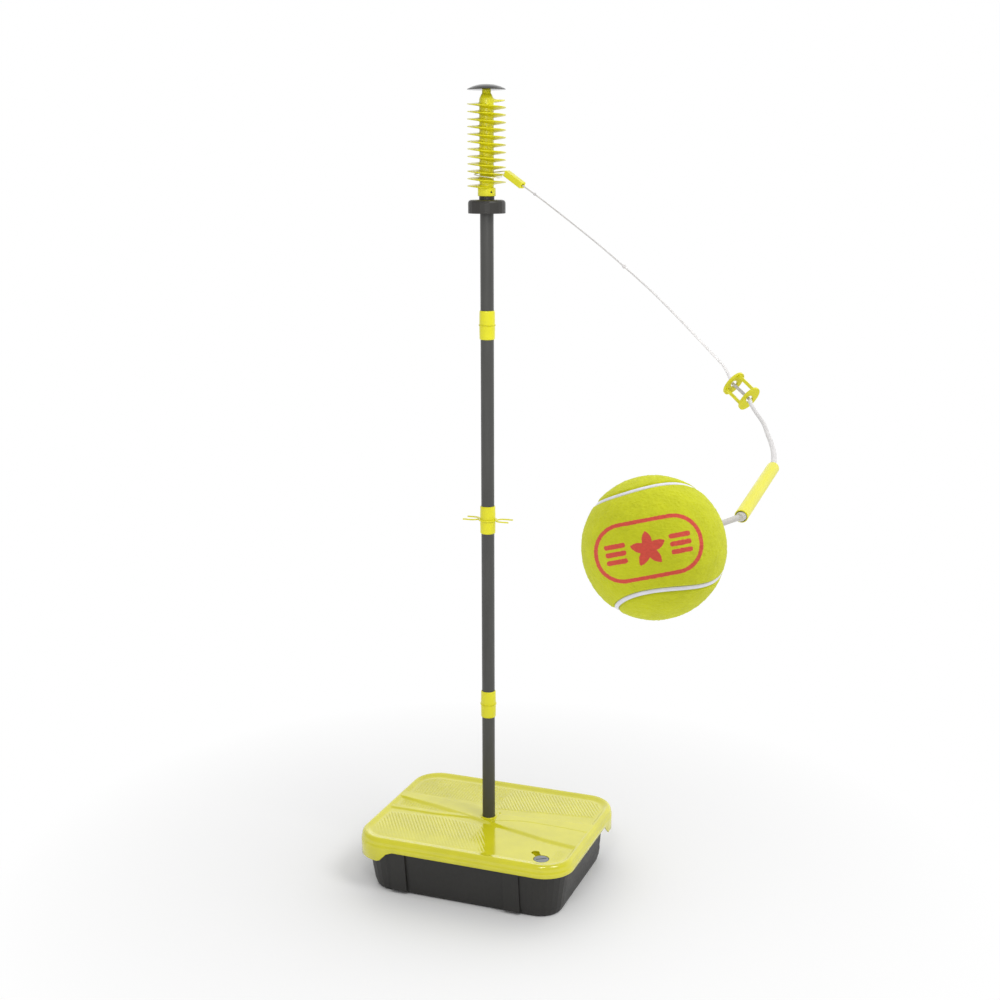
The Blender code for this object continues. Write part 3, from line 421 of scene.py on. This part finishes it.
YELLOW_LOOK = moulded_plastic("yellow_moulding", YELLOW, 0.26, 0.40).material
TANK_LOOK = moulded_plastic("tank_black", TANK_BLACK, 0.42, 0.58, grain=0.0007, grain_strength=0.45).material
BLACK_LOOK = moulded_plastic("black_moulding", shade(TANK_BLACK, 1.5), 0.40, 0.52).material
CAP_LOOK = moulded_plastic(
    "cap_black", shade(TANK_BLACK, 0.7), 0.14, 0.22, Specular_IOR_Level=0.35
).material
GREY_LOOK = moulded_plastic("grey_moulding", (0.19, 0.21, 0.23), 0.28, 0.40).material
POLE_LOOK = pole_coating()
RUBBER_LOOK = rubber("black_rubber", (0.022, 0.022, 0.022))
SEAM_LOOK = rubber("seam_rubber", (0.76, 0.76, 0.84), 0.55)
CORE_LOOK = rubber("core_rubber", (0.10, 0.10, 0.09))
WIRE_LOOK = steel("bright_wire", (0.90, 0.90, 0.89), 0.32)
SCREW_LOOK = steel("black_screw", (0.05, 0.05, 0.05), 0.40)
CORD_LOOK = cord_yarn()


# ---- Camera and cords ----


def make_camera():
    data = bpy.data.cameras.new("camera")
    data.lens = CAMERA_LENS_MM
    data.clip_start = 0.05
    camera = bpy.data.objects.new("camera", data)
    camera.location = CAMERA_AT
    turn = Matrix.Rotation(math.radians(CAMERA_TURN_DEG), 3, "Z")
    tilt = Matrix.Rotation(math.radians(CAMERA_TILT_DEG), 3, "X")
    roll = Matrix.Rotation(math.radians(CAMERA_ROLL_DEG), 3, "Z")
    camera.rotation_euler = (turn @ tilt @ roll).to_euler()
    bpy.context.scene.collection.objects.link(camera)
    bpy.context.scene.camera = camera


def braid(name, points, body, *replaced):
    """A braided cord along points about 1 mm apart: its strands cross in diamonds."""
    around, strands, lay, depth = 16, 4, 0.009, 0.04
    run = 0.0
    before = points[0]
    sections = []
    for point, side, other in frames_along(points):
        run += (point - before).length
        before = point
        section = []
        for k in range(around):
            turn = 2 * math.pi * k / around
            twist = 2 * math.pi * run / lay * strands / 2
            ridge = max(math.sin(strands * turn + twist), math.sin(strands * turn - twist))
            radius = CORD_RADIUS * (1 - depth + depth * ridge)
            section.append(point + (side * math.cos(turn) + other * math.sin(turn)) * radius)
        sections.append(section)
    mesh = mesh_of(name, *swept(sections))
    return add_piece(name, mesh, CORD_LOOK, body, "white_cord", *replaced, smooth_deg=60)


def knot(name, at, way, coil, yarn, half, turns, body, replaced):
    """A barrel knot: a few turns of cord round the cord, with both ends tucked in."""
    way = way.normalized()
    side = way.orthogonal().normalized()
    other = way.cross(side)
    steps = round(turns * 20)
    path = []
    for step in range(steps + 1):
        share = step / steps
        tuck = min(1.0, share * 6, (1 - share) * 6)
        turn = 2 * math.pi * turns * share
        out = coil * (0.55 + 0.45 * tuck)
        sideways = (side * math.cos(turn) + other * math.sin(turn)) * out
        path.append(at + way * half * (2 * share - 1) + sideways)
    sections = []
    for point, one, two in frames_along(path):
        ring = [2 * math.pi * k / 10 for k in range(10)]
        sections.append([point + (one * math.cos(a) + two * math.sin(a)) * yarn for a in ring])
    mesh = mesh_of(name, *swept(sections))
    return add_piece(name, mesh, CORD_LOOK, body, "white_cord", replaced, smooth_deg=60)


def route_way(index):
    return Vector(UPPER_ROUTE[index + 1]) - Vector(UPPER_ROUTE[index - 1])


def make_cords():
    """The tether's two stretches with what is on them, and the short link into the ball."""
    upper = smooth_route(UPPER_ROUTE, 0.001)
    upper[-1] -= (upper[-1] - upper[-2]).normalized() * BEND_GAP / 2
    lower = smooth_route(LOWER_ROUTE, 0.001)
    lower[0] += (lower[1] - lower[0]).normalized() * BEND_GAP / 2
    lower[-1] -= (lower[-1] - lower[-2]).normalized() * TILT_GAP
    top_cord = braid("cord_upper", upper, "upper_tether", "tether_upper")
    end_cord = braid("cord_lower", lower, "lower_tether", "tether_lower")
    top = knot(
        "knot_top", Vector(UPPER_ROUTE[TOP_KNOT_INDEX]), route_way(TOP_KNOT_INDEX),
        0.0019, 0.0010, 0.0024, 2.5, "upper_tether", "top_knot"
    )
    middle = knot(
        "knot_middle", Vector(UPPER_ROUTE[MID_KNOT_INDEX]), route_way(MID_KNOT_INDEX),
        0.0021, 0.0012, 0.0030, 3.0, "upper_tether", "mid_knot"
    )
    way = (BALL_AT - SLEEVE_MOUTH).normalized()
    inside = BALL_AT - way * (BALL_RADIUS - 0.004)
    count = round((inside - SLEEVE_MOUTH).length / 0.001)
    link = [SLEEVE_MOUTH.lerp(inside, k / count) for k in range(count + 1)]
    braid("cord_link", link, "ball", "ball_link")
    knot("knot_end", SLEEVE_MOUTH, way, 0.0013, 0.0011, 0.0014, 2.5, "ball", "end_knot")


# ---- Lid ----


def box_distance(x, y, half, corner):
    """Signed distance to a rounded rectangle round the origin, negative inside."""
    dx = np.abs(x) - half[0] + corner
    dy = np.abs(y) - half[1] + corner
    outside = np.hypot(np.maximum(dx, 0), np.maximum(dy, 0))
    return outside + np.minimum(np.maximum(dx, dy), 0) - corner


def circle_distance(x, y, centre, radius):
    return np.hypot(x - centre[0], y - centre[1]) - radius


def crest_distance(x, y):
    half = [h - CREST_INSET for h in LID_HALF]
    return box_distance(x, y, half, LID_CORNER - CREST_INSET)


def keyhole_distance(x, y):
    """Signed distance to the plug's round hole, its throat and the finger lobe."""
    reach = LOBE_AT - PLUG_AT
    along = ((x - PLUG_AT.x) * reach.x + (y - PLUG_AT.y) * reach.y) / reach.length
    across = ((x - PLUG_AT.x) * -reach.y + (y - PLUG_AT.y) * reach.x) / reach.length
    throat = np.maximum(np.abs(along - reach.length / 2) - reach.length / 2, np.abs(across) - THROAT)
    rounds = np.minimum(
        circle_distance(x, y, PLUG_AT, PLUG_HOLE), circle_distance(x, y, LOBE_AT, LOBE_HOLE)
    )
    return np.minimum(rounds, throat)


def lid_distance(x, y):
    """Signed distance to the sheet of the lid's top: inside the crest, outside its two holes."""
    holes = np.minimum(circle_distance(x, y, (0, 0), POLE_HOLE), keyhole_distance(x, y))
    return np.maximum(crest_distance(x, y), -holes)


def step_between(value, low, high):
    t = np.clip((value - low) / (high - low), 0, 1)
    return t * t * (3 - 2 * t)


def band(x, y, back, front, height, back_slope, front_slope):
    """A raised band whose edges are lines of (x, y) points, with a slope of its own at each edge."""
    top = np.interp(x, *zip(*back))
    bottom = np.interp(x, *zip(*front))
    slope = np.interp(x, *zip(*front_slope))
    rise = step_between(top + back_slope - y, 0, back_slope) * step_between(y, bottom - slope, bottom)
    inside = (x > back[0][0]) & (x < back[-1][0])
    return height * rise * inside


def lid_bands(x, y):
    """The smooth raised bands that cross the lid's field and meet round the pole."""
    left_band = band(
        x, y, [(-0.250, 0.072), (-0.037, 0.055), (0.012, 0.040)],
        [(-0.250, 0.049), (-0.133, 0.028), (-0.046, 0.002), (0.012, -0.014)], 0.0040, 0.004,
        [(-0.250, 0.004), (-0.130, 0.018), (-0.030, 0.013), (0.012, 0.013)],
    )
    left_ridge = band(
        x, y, [(-0.250, -0.004), (-0.124, -0.003), (-0.030, 0.010)],
        [(-0.250, -0.013), (-0.124, -0.013), (-0.030, -0.004)], 0.0026, 0.003,
        [(-0.250, 0.009), (-0.120, 0.006), (-0.030, 0.003)],
    )
    right_band = band(
        x, y, [(-0.010, 0.026), (0.109, 0.041), (0.250, 0.052)],
        [(-0.010, -0.012), (0.080, 0.014), (0.159, 0.014), (0.250, 0.008)], 0.0040, 0.004,
        [(-0.010, 0.002), (0.080, 0.003), (0.159, 0.009), (0.250, 0.009)],
    )
    right_apron = band(
        x, y, [(-0.010, 0.020), (0.250, 0.020)],
        [(-0.010, -0.008), (0.027, -0.018), (0.097, -0.036), (0.154, -0.052), (0.250, -0.068)],
        0.0034, 0.004,
        [(-0.010, 0.012), (0.030, 0.014), (0.250, 0.015)],
    )
    return np.maximum.reduce([left_band, left_ridge, right_band, right_apron])


def lid_zones(x, y):
    """(share of coarse ribs, share of fine grip) over the field."""
    front = step_between(-0.020 - y - 0.12 * np.abs(x + 0.1), 0, 0.010)
    front *= step_between(0.055 - 0.5 * (y + 0.13) - x, 0, 0.050)
    front *= 1 - 0.75 * step_between(-y, 0.100, 0.130)
    back = step_between(y - 0.058 - 0.03 * x / 0.2, 0, 0.006) * step_between(x, -0.015, 0.005)
    ribs = np.maximum(front, back)
    behind = step_between(y, 0.074, 0.082) * step_between(-x, -0.005, 0.015)
    wedge = step_between(-x, 0.060, 0.090) * step_between(y, 0.000, 0.008) * (y < 0.045)
    edge = step_between(x, 0.185, 0.195) * step_between(-y, 0.085, 0.095)
    return ribs, np.maximum.reduce([behind, wedge, 0.6 * edge])


def lid_height(x, y):
    """Height of the lid's top: the recessed field, its bands and ribs, and the slope up to the crest."""
    from_field = np.maximum(box_distance(x, y, FIELD_HALF, FIELD_CORNER), 0)
    to_crest = np.maximum(-crest_distance(x, y), 1e-6)
    slope = step_between(from_field / (from_field + to_crest), 0.0, 1.0)
    mark_x = x - MARKS_AT[0]
    mark_y = y - MARKS_AT[1]
    inside = step_between(-box_distance(x, y, FIELD_HALF, FIELD_CORNER), 0.002, 0.009)
    ribs, grip = (zone * inside for zone in lid_zones(mark_x, mark_y))
    boss = 0.0022 * step_between(-np.hypot(x, y), -0.034, -0.021)
    bands = np.maximum(lid_bands(mark_x, mark_y), boss)
    wave = np.cos(2 * math.pi * (x * RIB_WAY.x + y * RIB_WAY.y) / RIB_PITCH)
    relief = RIB_HEIGHT * step_between(wave, -0.55, 0.75) * ribs * (bands < 0.0004)
    corner_slot = (circle_distance(mark_x, mark_y, (0.2045, 0.166), 0.0045) < 0) * -0.0015
    field = LID_FIELD_Z + np.maximum(bands, relief) + corner_slot
    rim = LID_FIELD_Z + (LID_CREST_Z - LID_FIELD_Z) * slope
    return np.maximum(field, rim), grip * (bands < 0.0004)


def lid_sheet():
    """The lid's top as a sheet on a grid, with its outlines snapped smooth: points, faces and grip."""
    nx, ny = (round(2 * half / GRID_STEP) for half in LID_HALF)
    gx, gy = np.meshgrid(np.linspace(-1, 1, nx) * LID_HALF[0], np.linspace(-1, 1, ny) * LID_HALF[1])
    x, y = gx.ravel(), gy.ravel()
    for _ in range(2):
        away = lid_distance(x, y)
        tiny = 1e-5
        slope_x = (lid_distance(x + tiny, y) - lid_distance(x - tiny, y)) / (2 * tiny)
        slope_y = (lid_distance(x, y + tiny) - lid_distance(x, y - tiny)) / (2 * tiny)
        near = np.abs(away) < 0.62 * GRID_STEP
        x = x - near * away * slope_x
        y = y - near * away * slope_y
    kept = lid_distance(x, y) < 2e-5
    z, grip = lid_height(x, y)
    corner = (np.arange(ny - 1)[:, None] * nx + np.arange(nx - 1)[None]).ravel()
    quads = np.stack([corner, corner + 1, corner + nx + 1, corner + nx], 1)
    quads = quads[kept[quads].all(1)]
    used = np.unique(quads)
    number = np.full(len(x), -1)
    number[used] = np.arange(len(used))
    quads = number[quads]
    top = np.stack([x[used], y[used], z[used]], 1)
    return top, quads, grip[used]


def lid_slab(bm, top, quads):
    """Adds the sheet to a bmesh, gives it a thickness and closes it underneath."""
    verts = [bm.verts.new(p) for p in top]
    faces = [bm.faces.new([verts[i] for i in quad]) for quad in quads]
    rim = [edge for face in faces for edge in face.edges if len(edge.link_faces) == 1]
    walls = bmesh.ops.extrude_edge_only(bm, edges=rim)["geom"]
    low = [g for g in walls if isinstance(g, bmesh.types.BMVert)]
    for vert in low:
        vert.co.z = LID_FIELD_Z - LID_WALL
    floor = set(low)
    edges = [g for g in walls if isinstance(g, bmesh.types.BMEdge)]
    lower = [edge for edge in edges if edge.verts[0] in floor and edge.verts[1] in floor]
    bmesh.ops.triangle_fill(bm, edges=lower, use_beauty=False)


def skirt_ring(inset, z, drop, steps=14):
    """A level outline of the lid, which drops round its two deep corners."""
    half = [h - inset for h in LID_HALF]
    radius = LID_CORNER - inset
    ring = []
    for quarter, (sx, sy) in enumerate(((1, 1), (-1, 1), (-1, -1), (1, -1))):
        for step in range(steps + 1):
            angle = math.pi / 2 * (quarter + step / steps)
            ring.append(
                Vector((sx * (half[0] - radius) + radius * math.cos(angle),
                        sy * (half[1] - radius) + radius * math.sin(angle), z))
            )
        if quarter % 2 == 0:
            start, end = sx * (half[0] - radius), -sx * (half[0] - radius)
            ring += [Vector((start + (end - start) * k / 24, sy * half[1], z)) for k in range(1, 24)]
        else:
            start, end = sy * (half[1] - radius), -sy * (half[1] - radius)
            ring += [Vector((sx * half[0], start + (end - start) * k / 20, z)) for k in range(1, 20)]
    spread = (LID_HALF[0] / half[0], LID_HALF[1] / half[1])
    for point in ring:
        point.z -= drop * skirt_drop(point.x * spread[0], point.y * spread[1])
    return ring


def skirt_drop(x, y):
    """How far the skirt hangs down: deep round two opposite corners, with a rounded ramp at each side."""
    if x * y <= 0:
        return 0.0
    ramps = ((abs(x) - RAMP_AT[0]) / RAMP_RUN, (abs(y) - RAMP_AT[1]) / RAMP_RUN)
    share = max(0.0, min(1.0, *ramps))
    return SKIRT_DROP * share * share * (3 - 2 * share)


def make_lid():
    top, quads, grip = lid_sheet()
    bm = bmesh.new()
    lid_slab(bm, top, quads)
    profile = (
        (0.0120, LID_FIELD_Z - 0.0016, 0.0),
        (LID_WALL + 0.0012, LID_FIELD_Z - 0.0050, 0.0),
        (LID_WALL, SKIRT_Z + 0.001, 0.9),
        (LID_WALL, SKIRT_Z, 1.0),
        (LID_WALL - 0.0006, SKIRT_Z - 0.0004, 1.0),
        (0.0006, SKIRT_Z - 0.0004, 1.0),
        (0.0000, SKIRT_Z + 0.0003, 1.0),
        (0.0000, LID_CREST_Z - 0.0200, 0.25),
        (0.0000, LID_CREST_Z - 0.0168, 0.0),
        (0.0009, LID_CREST_Z - 0.0158, 0.0),
        (0.0012, LID_CREST_Z - 0.0120, 0.0),
        (0.0018, LID_CREST_Z - 0.0080, 0.0),
        (0.0029, LID_CREST_Z - 0.0047, 0.0),
        (0.0046, LID_CREST_Z - 0.0022, 0.0),
        (0.0068, LID_CREST_Z - 0.0006, 0.0),
        (CREST_INSET, LID_CREST_Z, 0.0),
        (CREST_INSET + 0.0004, LID_CREST_Z - 0.0016, 0.0),
        (0.0125, LID_CREST_Z - 0.0028, 0.0),
    )
    rings = [[bm.verts.new(p) for p in skirt_ring(*row)] for row in profile]
    for low, high in zip(rings, rings[1:] + rings[:1]):
        for k in range(len(low)):
            j = (k + 1) % len(low)
            bm.faces.new((low[k], low[j], high[j], high[k]))
    bmesh.ops.recalc_face_normals(bm, faces=bm.faces)
    mesh = bpy.data.meshes.new("lid")
    bm.to_mesh(mesh)
    marks = np.zeros(len(mesh.vertices), np.float32)
    marks[: len(grip)] = grip
    bm.free()
    mesh.attributes.new("grip", "FLOAT", "POINT").data.foreach_set("value", marks)
    add_piece("lid", mesh, lid_plastic(), "base", "yellow_plastic", "base_lid", smooth_deg=50)


# ---- Head ----


def fin_sections():
    """Cross-sections of the left-handed fin, a wedge that falls as it turns."""
    steps_a_turn = 56
    count = round(FIN_TURNS * steps_a_turn)
    half_profile = (
        (CORE_RADIUS - 0.0010, 0.0052),
        (CORE_RADIUS + 0.0002, 0.0042),
        (CORE_RADIUS + 0.0014, 0.0034),
        (CORE_RADIUS + 0.0040, 0.0025),
        (0.0290, 0.0016),
        (FIN_RADIUS - 0.0008, 0.0008),
        (FIN_RADIUS, 0.0004),
    )
    sections = []
    for step in range(count + 1):
        turn = FIN_START + 2 * math.pi * step / steps_a_turn
        middle = FIN_TOP_Z - FIN_PITCH * (turn - FIN_START) / (2 * math.pi)
        reach = 1 - 0.10 * max(0.0, 1 - step / 5)
        left = (count - step) / 16
        if left < 1:
            reach *= 0.18 + 0.82 * left
        section = []
        for side, rows in ((-1, half_profile), (1, half_profile[::-1])):
            for radius, half in rows:
                out = (radius - CORE_RADIUS) / (FIN_RADIUS - CORE_RADIUS)
                reached = CORE_RADIUS + (radius - CORE_RADIUS) * (reach if radius > CORE_RADIUS else 1)
                z = middle + side * half + 0.0010 * max(0.0, out) ** 2
                section.append((reached * math.cos(turn), reached * math.sin(turn), z))
        sections.append(section)
    return sections


def screw_hole():
    """The cutter of the hole in the head's collar, round its side screw."""
    hole = turned([(0.0, 0.0125), (0.0022, 0.0125), (0.0022, 0.0220), (0.0, 0.0220)], 24)
    place = Matrix.Translation((0, 0, SCREW_Z)) @ Matrix.Rotation(SCREW_HEADING, 4, "Z")
    hole.transform(place @ Matrix.Rotation(math.pi / 2, 4, "Y"))
    return hole


def make_head():
    core = turned(
        [
            (0.0, 1.5285), (0.0101, 1.5285), (0.0101, HEAD_Z + 0.0006), (0.0107, HEAD_Z), (0.0176, HEAD_Z),
            (0.01820, HEAD_Z + 0.0003), (0.01835, HEAD_Z + 0.0009), (0.01835, 1.5038), (0.01815, 1.5045),
            (0.0176, 1.5050), (CORE_RADIUS + 0.0008, 1.5050), (CORE_RADIUS, 1.5058), (CORE_RADIUS, 1.6800),
            (CORE_RADIUS - 0.0003, 1.6812), (0.0104, 1.6893), (0.0095, 1.6902), (0.0090, 1.6912),
            (0.0090, 1.6980), (0.0058, 1.6980), (0.0058, 1.660), (0.0, 1.660),
        ],
        72,
    )
    fin = mesh_of("fin", *swept(fin_sections()))
    head = combined(combined(core, fin, "UNION"), screw_hole(), "DIFFERENCE")
    add_piece("winding_head", head, YELLOW_LOOK, "top_pole", "yellow_plastic", "spiral_head", smooth_deg=45)


# ---- Ball ----


def ball_matrix():
    turn = Matrix.Identity(3)
    for axis, degrees in BALL_TURN_DEG:
        turn = turn @ Matrix.Rotation(math.radians(degrees), 3, axis)
    return turn


def seam_way(t):
    """A direction on the seam's closed wave, which goes over and under the ball."""
    a, b = 0.85, 0.15
    place = Vector(
        (
            a * math.cos(t) + b * math.cos(3 * t),
            a * math.sin(t) - b * math.sin(3 * t),
            2 * math.sqrt(a * b) * math.sin(2 * t),
        )
    )
    return (ball_matrix() @ place).normalized()


def make_seam():
    """The rubber seam between the felt panels, slightly domed."""
    steps = 360
    half_profile = ((BALL_RADIUS - 0.0022, 1.0), (BALL_RADIUS - 0.0008, 1.0), (BALL_RADIUS - 0.00045, 0.6))
    sections = []
    for step in range(steps):
        t = 2 * math.pi * step / steps
        out = seam_way(t)
        across = out.cross(seam_way(t + 0.01) - seam_way(t - 0.01)).normalized()
        rows = [(r, -w) for r, w in half_profile] + [(BALL_RADIUS - 0.0004, 0.0)]
        rows += [(r, w) for r, w in half_profile[::-1]]
        sections.append([BALL_AT + out * r + across * w * SEAM_HALF_WIDTH for r, w in rows])
    mesh = mesh_of("seam", *swept(sections, closed=True))
    add_piece("ball_seam_band", mesh, SEAM_LOOK, "ball", "seam_rubber", "ball_seam")


def star_distance(u, v, outer, inner):
    """About how far a point is outside a five-pointed star."""
    turn = np.mod(np.arctan2(u, v), 2 * math.pi / 5)
    share = np.abs(turn / (2 * math.pi / 5) - 0.5) * 2
    return (np.hypot(u, v) - (inner + (outer - inner) * share)) * 0.6


def print_distance(places):
    """How far each place on the ball is outside the red print: an oval ring, a star and six bars."""
    outwards = (Vector(CAMERA_AT) - BALL_AT).normalized()
    right = outwards.cross(Vector((0, 0, 1))).normalized() * -1
    up = outwards.cross(right)
    tilt = math.radians(12)
    across = np.array(right * math.cos(tilt) + up * math.sin(tilt))
    upward = np.array(up * math.cos(tilt) - right * math.sin(tilt))
    offset = places - np.array(BALL_AT)
    u = offset @ across + 0.0025
    v = offset @ upward
    oval = np.abs(box_distance(u, v, (0.0235, 0.0125), 0.0120)) - 0.0009
    bars = [
        box_distance(np.abs(u) - 0.0145, v - level, (0.0048, 0.0011), 0.0009)
        for level in (-0.0035, 0.0, 0.0035)
    ]
    star = star_distance(u, v + 0.0002, 0.0082, 0.0036)
    far_side = (offset @ np.array(outwards) < 0) * 0.05
    return np.minimum.reduce([oval, star, *bars]) + far_side


def make_felt():
    """The two felt panels as one skin that dips under the seam, with tufts in the mesh."""
    rings, spokes = 200, 320
    tree = KDTree(720)
    for k in range(720):
        tree.insert(seam_way(2 * math.pi * k / 720) * BALL_RADIUS, k)
    tree.balance()
    points = []
    for i in range(rings + 1):
        polar = math.pi * i / rings
        for j in range(spokes if 0 < i < rings else 1):
            turn = 2 * math.pi * j / spokes
            level = math.sin(polar)
            way = Vector((level * math.cos(turn), level * math.sin(turn), math.cos(polar)))
            gap = tree.find(way * BALL_RADIUS)[2]
            dip = 1 - min(1.0, max(0.0, (gap - SEAM_HALF_WIDTH + 0.0002) / 0.0016))
            tuft = noise.fractal(way * 28, 1.0, 2.0, 5) * 0.00022 + noise.noise(way * 9) * 0.00010
            points.append(BALL_AT + way * (BALL_RADIUS - 0.0002 + tuft * (1 - dip) - 0.0017 * dip * dip))
    faces = [(0, 1 + j, 1 + (j + 1) % spokes) for j in range(spokes)]
    for i in range(rings - 2):
        a, b = 1 + i * spokes, 1 + (i + 1) * spokes
        faces += [(a + j, b + j, b + (j + 1) % spokes, a + (j + 1) % spokes) for j in range(spokes)]
    last = len(points) - 1
    faces += [(last, last - spokes + (j + 1) % spokes, last - spokes + j) for j in range(spokes)]
    mesh = mesh_of("felt", points, faces)
    edge = print_distance(np.array([tuple(p) for p in points]))
    mesh.attributes.new("print_edge", "FLOAT", "POINT").data.foreach_set("value", edge.astype(np.float32))
    add_piece(
        "ball_felt", mesh, felt_wool(), "ball", "yellow_felt",
        "felt_panel_front", "felt_panel_back", smooth_deg=180,
    )


# ---- CAD pieces that stay ----


def finish_node(name, look, bevel=0.0004):
    """Gives a CAD piece its material, and breaks its edges."""
    node = NODES[name]
    node.data.materials.clear()
    node.data.materials.append(look)
    if bevel:
        weld = node.modifiers.new("weld", "WELD")
        weld.merge_threshold = 0.00001
        edges = node.modifiers.new("bevel", "BEVEL")
        edges.width = bevel
        edges.segments = 2
        edges.limit_method = "ANGLE"
        edges.angle_limit = math.radians(35)
        edges.harden_normals = True


def finish_cad():
    yellow = ("bat_hanger", "loop_sleeve", "tether_adjuster", "socket_bush")
    for name in NODES:
        if name.startswith("coupler") or name in yellow:
            finish_node(name, YELLOW_LOOK)
        if name.startswith("pole"):
            finish_node(name, POLE_LOOK, 0.0)
    finish_node("ball_sleeve", YELLOW_LOOK, 0.0002)
    finish_node("base_tank", TANK_LOOK, 0.0010)
    finish_node("filler_well", YELLOW_LOOK)
    finish_node("neck_adapter", BLACK_LOOK)
    finish_node("stop_collar", BLACK_LOOK)
    finish_node("top_cap", CAP_LOOK, 0.0002)
    finish_node("filler_plug", GREY_LOOK, 0.0003)
    finish_node("plug_seal", RUBBER_LOOK, 0.0002)
    finish_node("plug_strap", RUBBER_LOOK, 0.0002)
    finish_node("head_screw", SCREW_LOOK, 0.0)
    finish_node("cap_screw", SCREW_LOOK, 0.0002)
    finish_node("wire_loop", WIRE_LOOK, 0.0)
    finish_node("ball_core", CORE_LOOK, 0.0)


# ---- Floor and light ----


def fade_to_white(look):
    """Lets the floor glow white away from the object, so that it meets the world without a line."""
    distance = look.tree.nodes.new("ShaderNodeVectorMath")
    distance.operation = "LENGTH"
    look.join(look.place, distance.inputs[0])
    glow = look.tree.nodes.new("ShaderNodeEmission")
    blend = look.tree.nodes.new("ShaderNodeMixShader")
    look.join(look.spread(distance.outputs["Value"], 0.0, 1.0, 0.30, 1.1), blend.inputs["Fac"])
    look.join(look.shader.outputs["BSDF"], blend.inputs[1])
    look.join(glow.outputs["Emission"], blend.inputs[2])
    look.join(blend.outputs["Shader"], look.tree.nodes["Material Output"].inputs["Surface"])


def make_floor():
    mesh = bpy.data.meshes.new("floor")
    reach = 60.0
    corners = ((-1, -1), (1, -1), (1, 1), (-1, 1))
    mesh.from_pydata([(reach * x, reach * y, -0.0004) for x, y in corners], [], [(0, 1, 2, 3)])
    look = Look("floor_white", (0.93, 0.93, 0.93), 0.9)
    look.shader.inputs["Specular IOR Level"].default_value = 0.1
    fade_to_white(look)
    mesh.materials.append(look.material)
    floor = bpy.data.objects.new("floor", mesh)
    bpy.context.scene.collection.objects.link(floor)


def soft_light(name, at, aim, size, power):
    data = bpy.data.lights.new(name, "AREA")
    data.shape = "DISK"
    data.size = size
    data.energy = power
    light = bpy.data.objects.new(name, data)
    light.location = at
    light.rotation_euler = (Vector(aim) - Vector(at)).to_track_quat("-Z", "Y").to_euler()
    bpy.context.scene.collection.objects.link(light)


def light_by_direction(world, background):
    """Lights the object from a bright backdrop and a dimmer front, while the camera sees plain white."""
    nodes, links = world.node_tree.nodes, world.node_tree.links
    place = nodes.new("ShaderNodeTexCoord")
    split = nodes.new("ShaderNodeSeparateXYZ")
    lit = nodes.new("ShaderNodeMapRange")
    lit.inputs["From Min"].default_value = 0.1
    lit.inputs["To Min"].default_value = 0.56
    lit.inputs["To Max"].default_value = 1.45
    path = nodes.new("ShaderNodeLightPath")
    seen = nodes.new("ShaderNodeMix")
    seen.inputs["B"].default_value = 1.0
    links.new(place.outputs["Generated"], split.inputs["Vector"])
    links.new(split.outputs["Y"], lit.inputs["Value"])
    links.new(path.outputs["Is Camera Ray"], seen.inputs["Factor"])
    links.new(lit.outputs["Result"], seen.inputs["A"])
    links.new(seen.outputs["Result"], background.inputs["Strength"])


def make_light():
    world = bpy.data.worlds.new("studio")
    world.use_nodes = True
    background = world.node_tree.nodes["Background"]
    background.inputs["Color"].default_value = (1.0, 1.0, 1.0, 1.0)
    background.inputs["Strength"].default_value = 1.0
    light_by_direction(world, background)
    bpy.context.scene.world = world
    bpy.context.scene.view_settings.view_transform = "Standard"
    soft_light("key", (2.6, -1.2, 3.6), (0.1, 0.0, 0.6), 1.6, 45)
    soft_light("ball_key", (0.2, -3.2, 3.0), tuple(BALL_AT), 1.2, 9)
    soft_light("head_fill", (0.5, -1.6, 1.9), (0.0, 0.0, 1.58), 0.5, 6)


make_camera()
make_cords()
make_lid()
make_head()
make_seam()
make_felt()
finish_cad()
make_floor()
make_light()
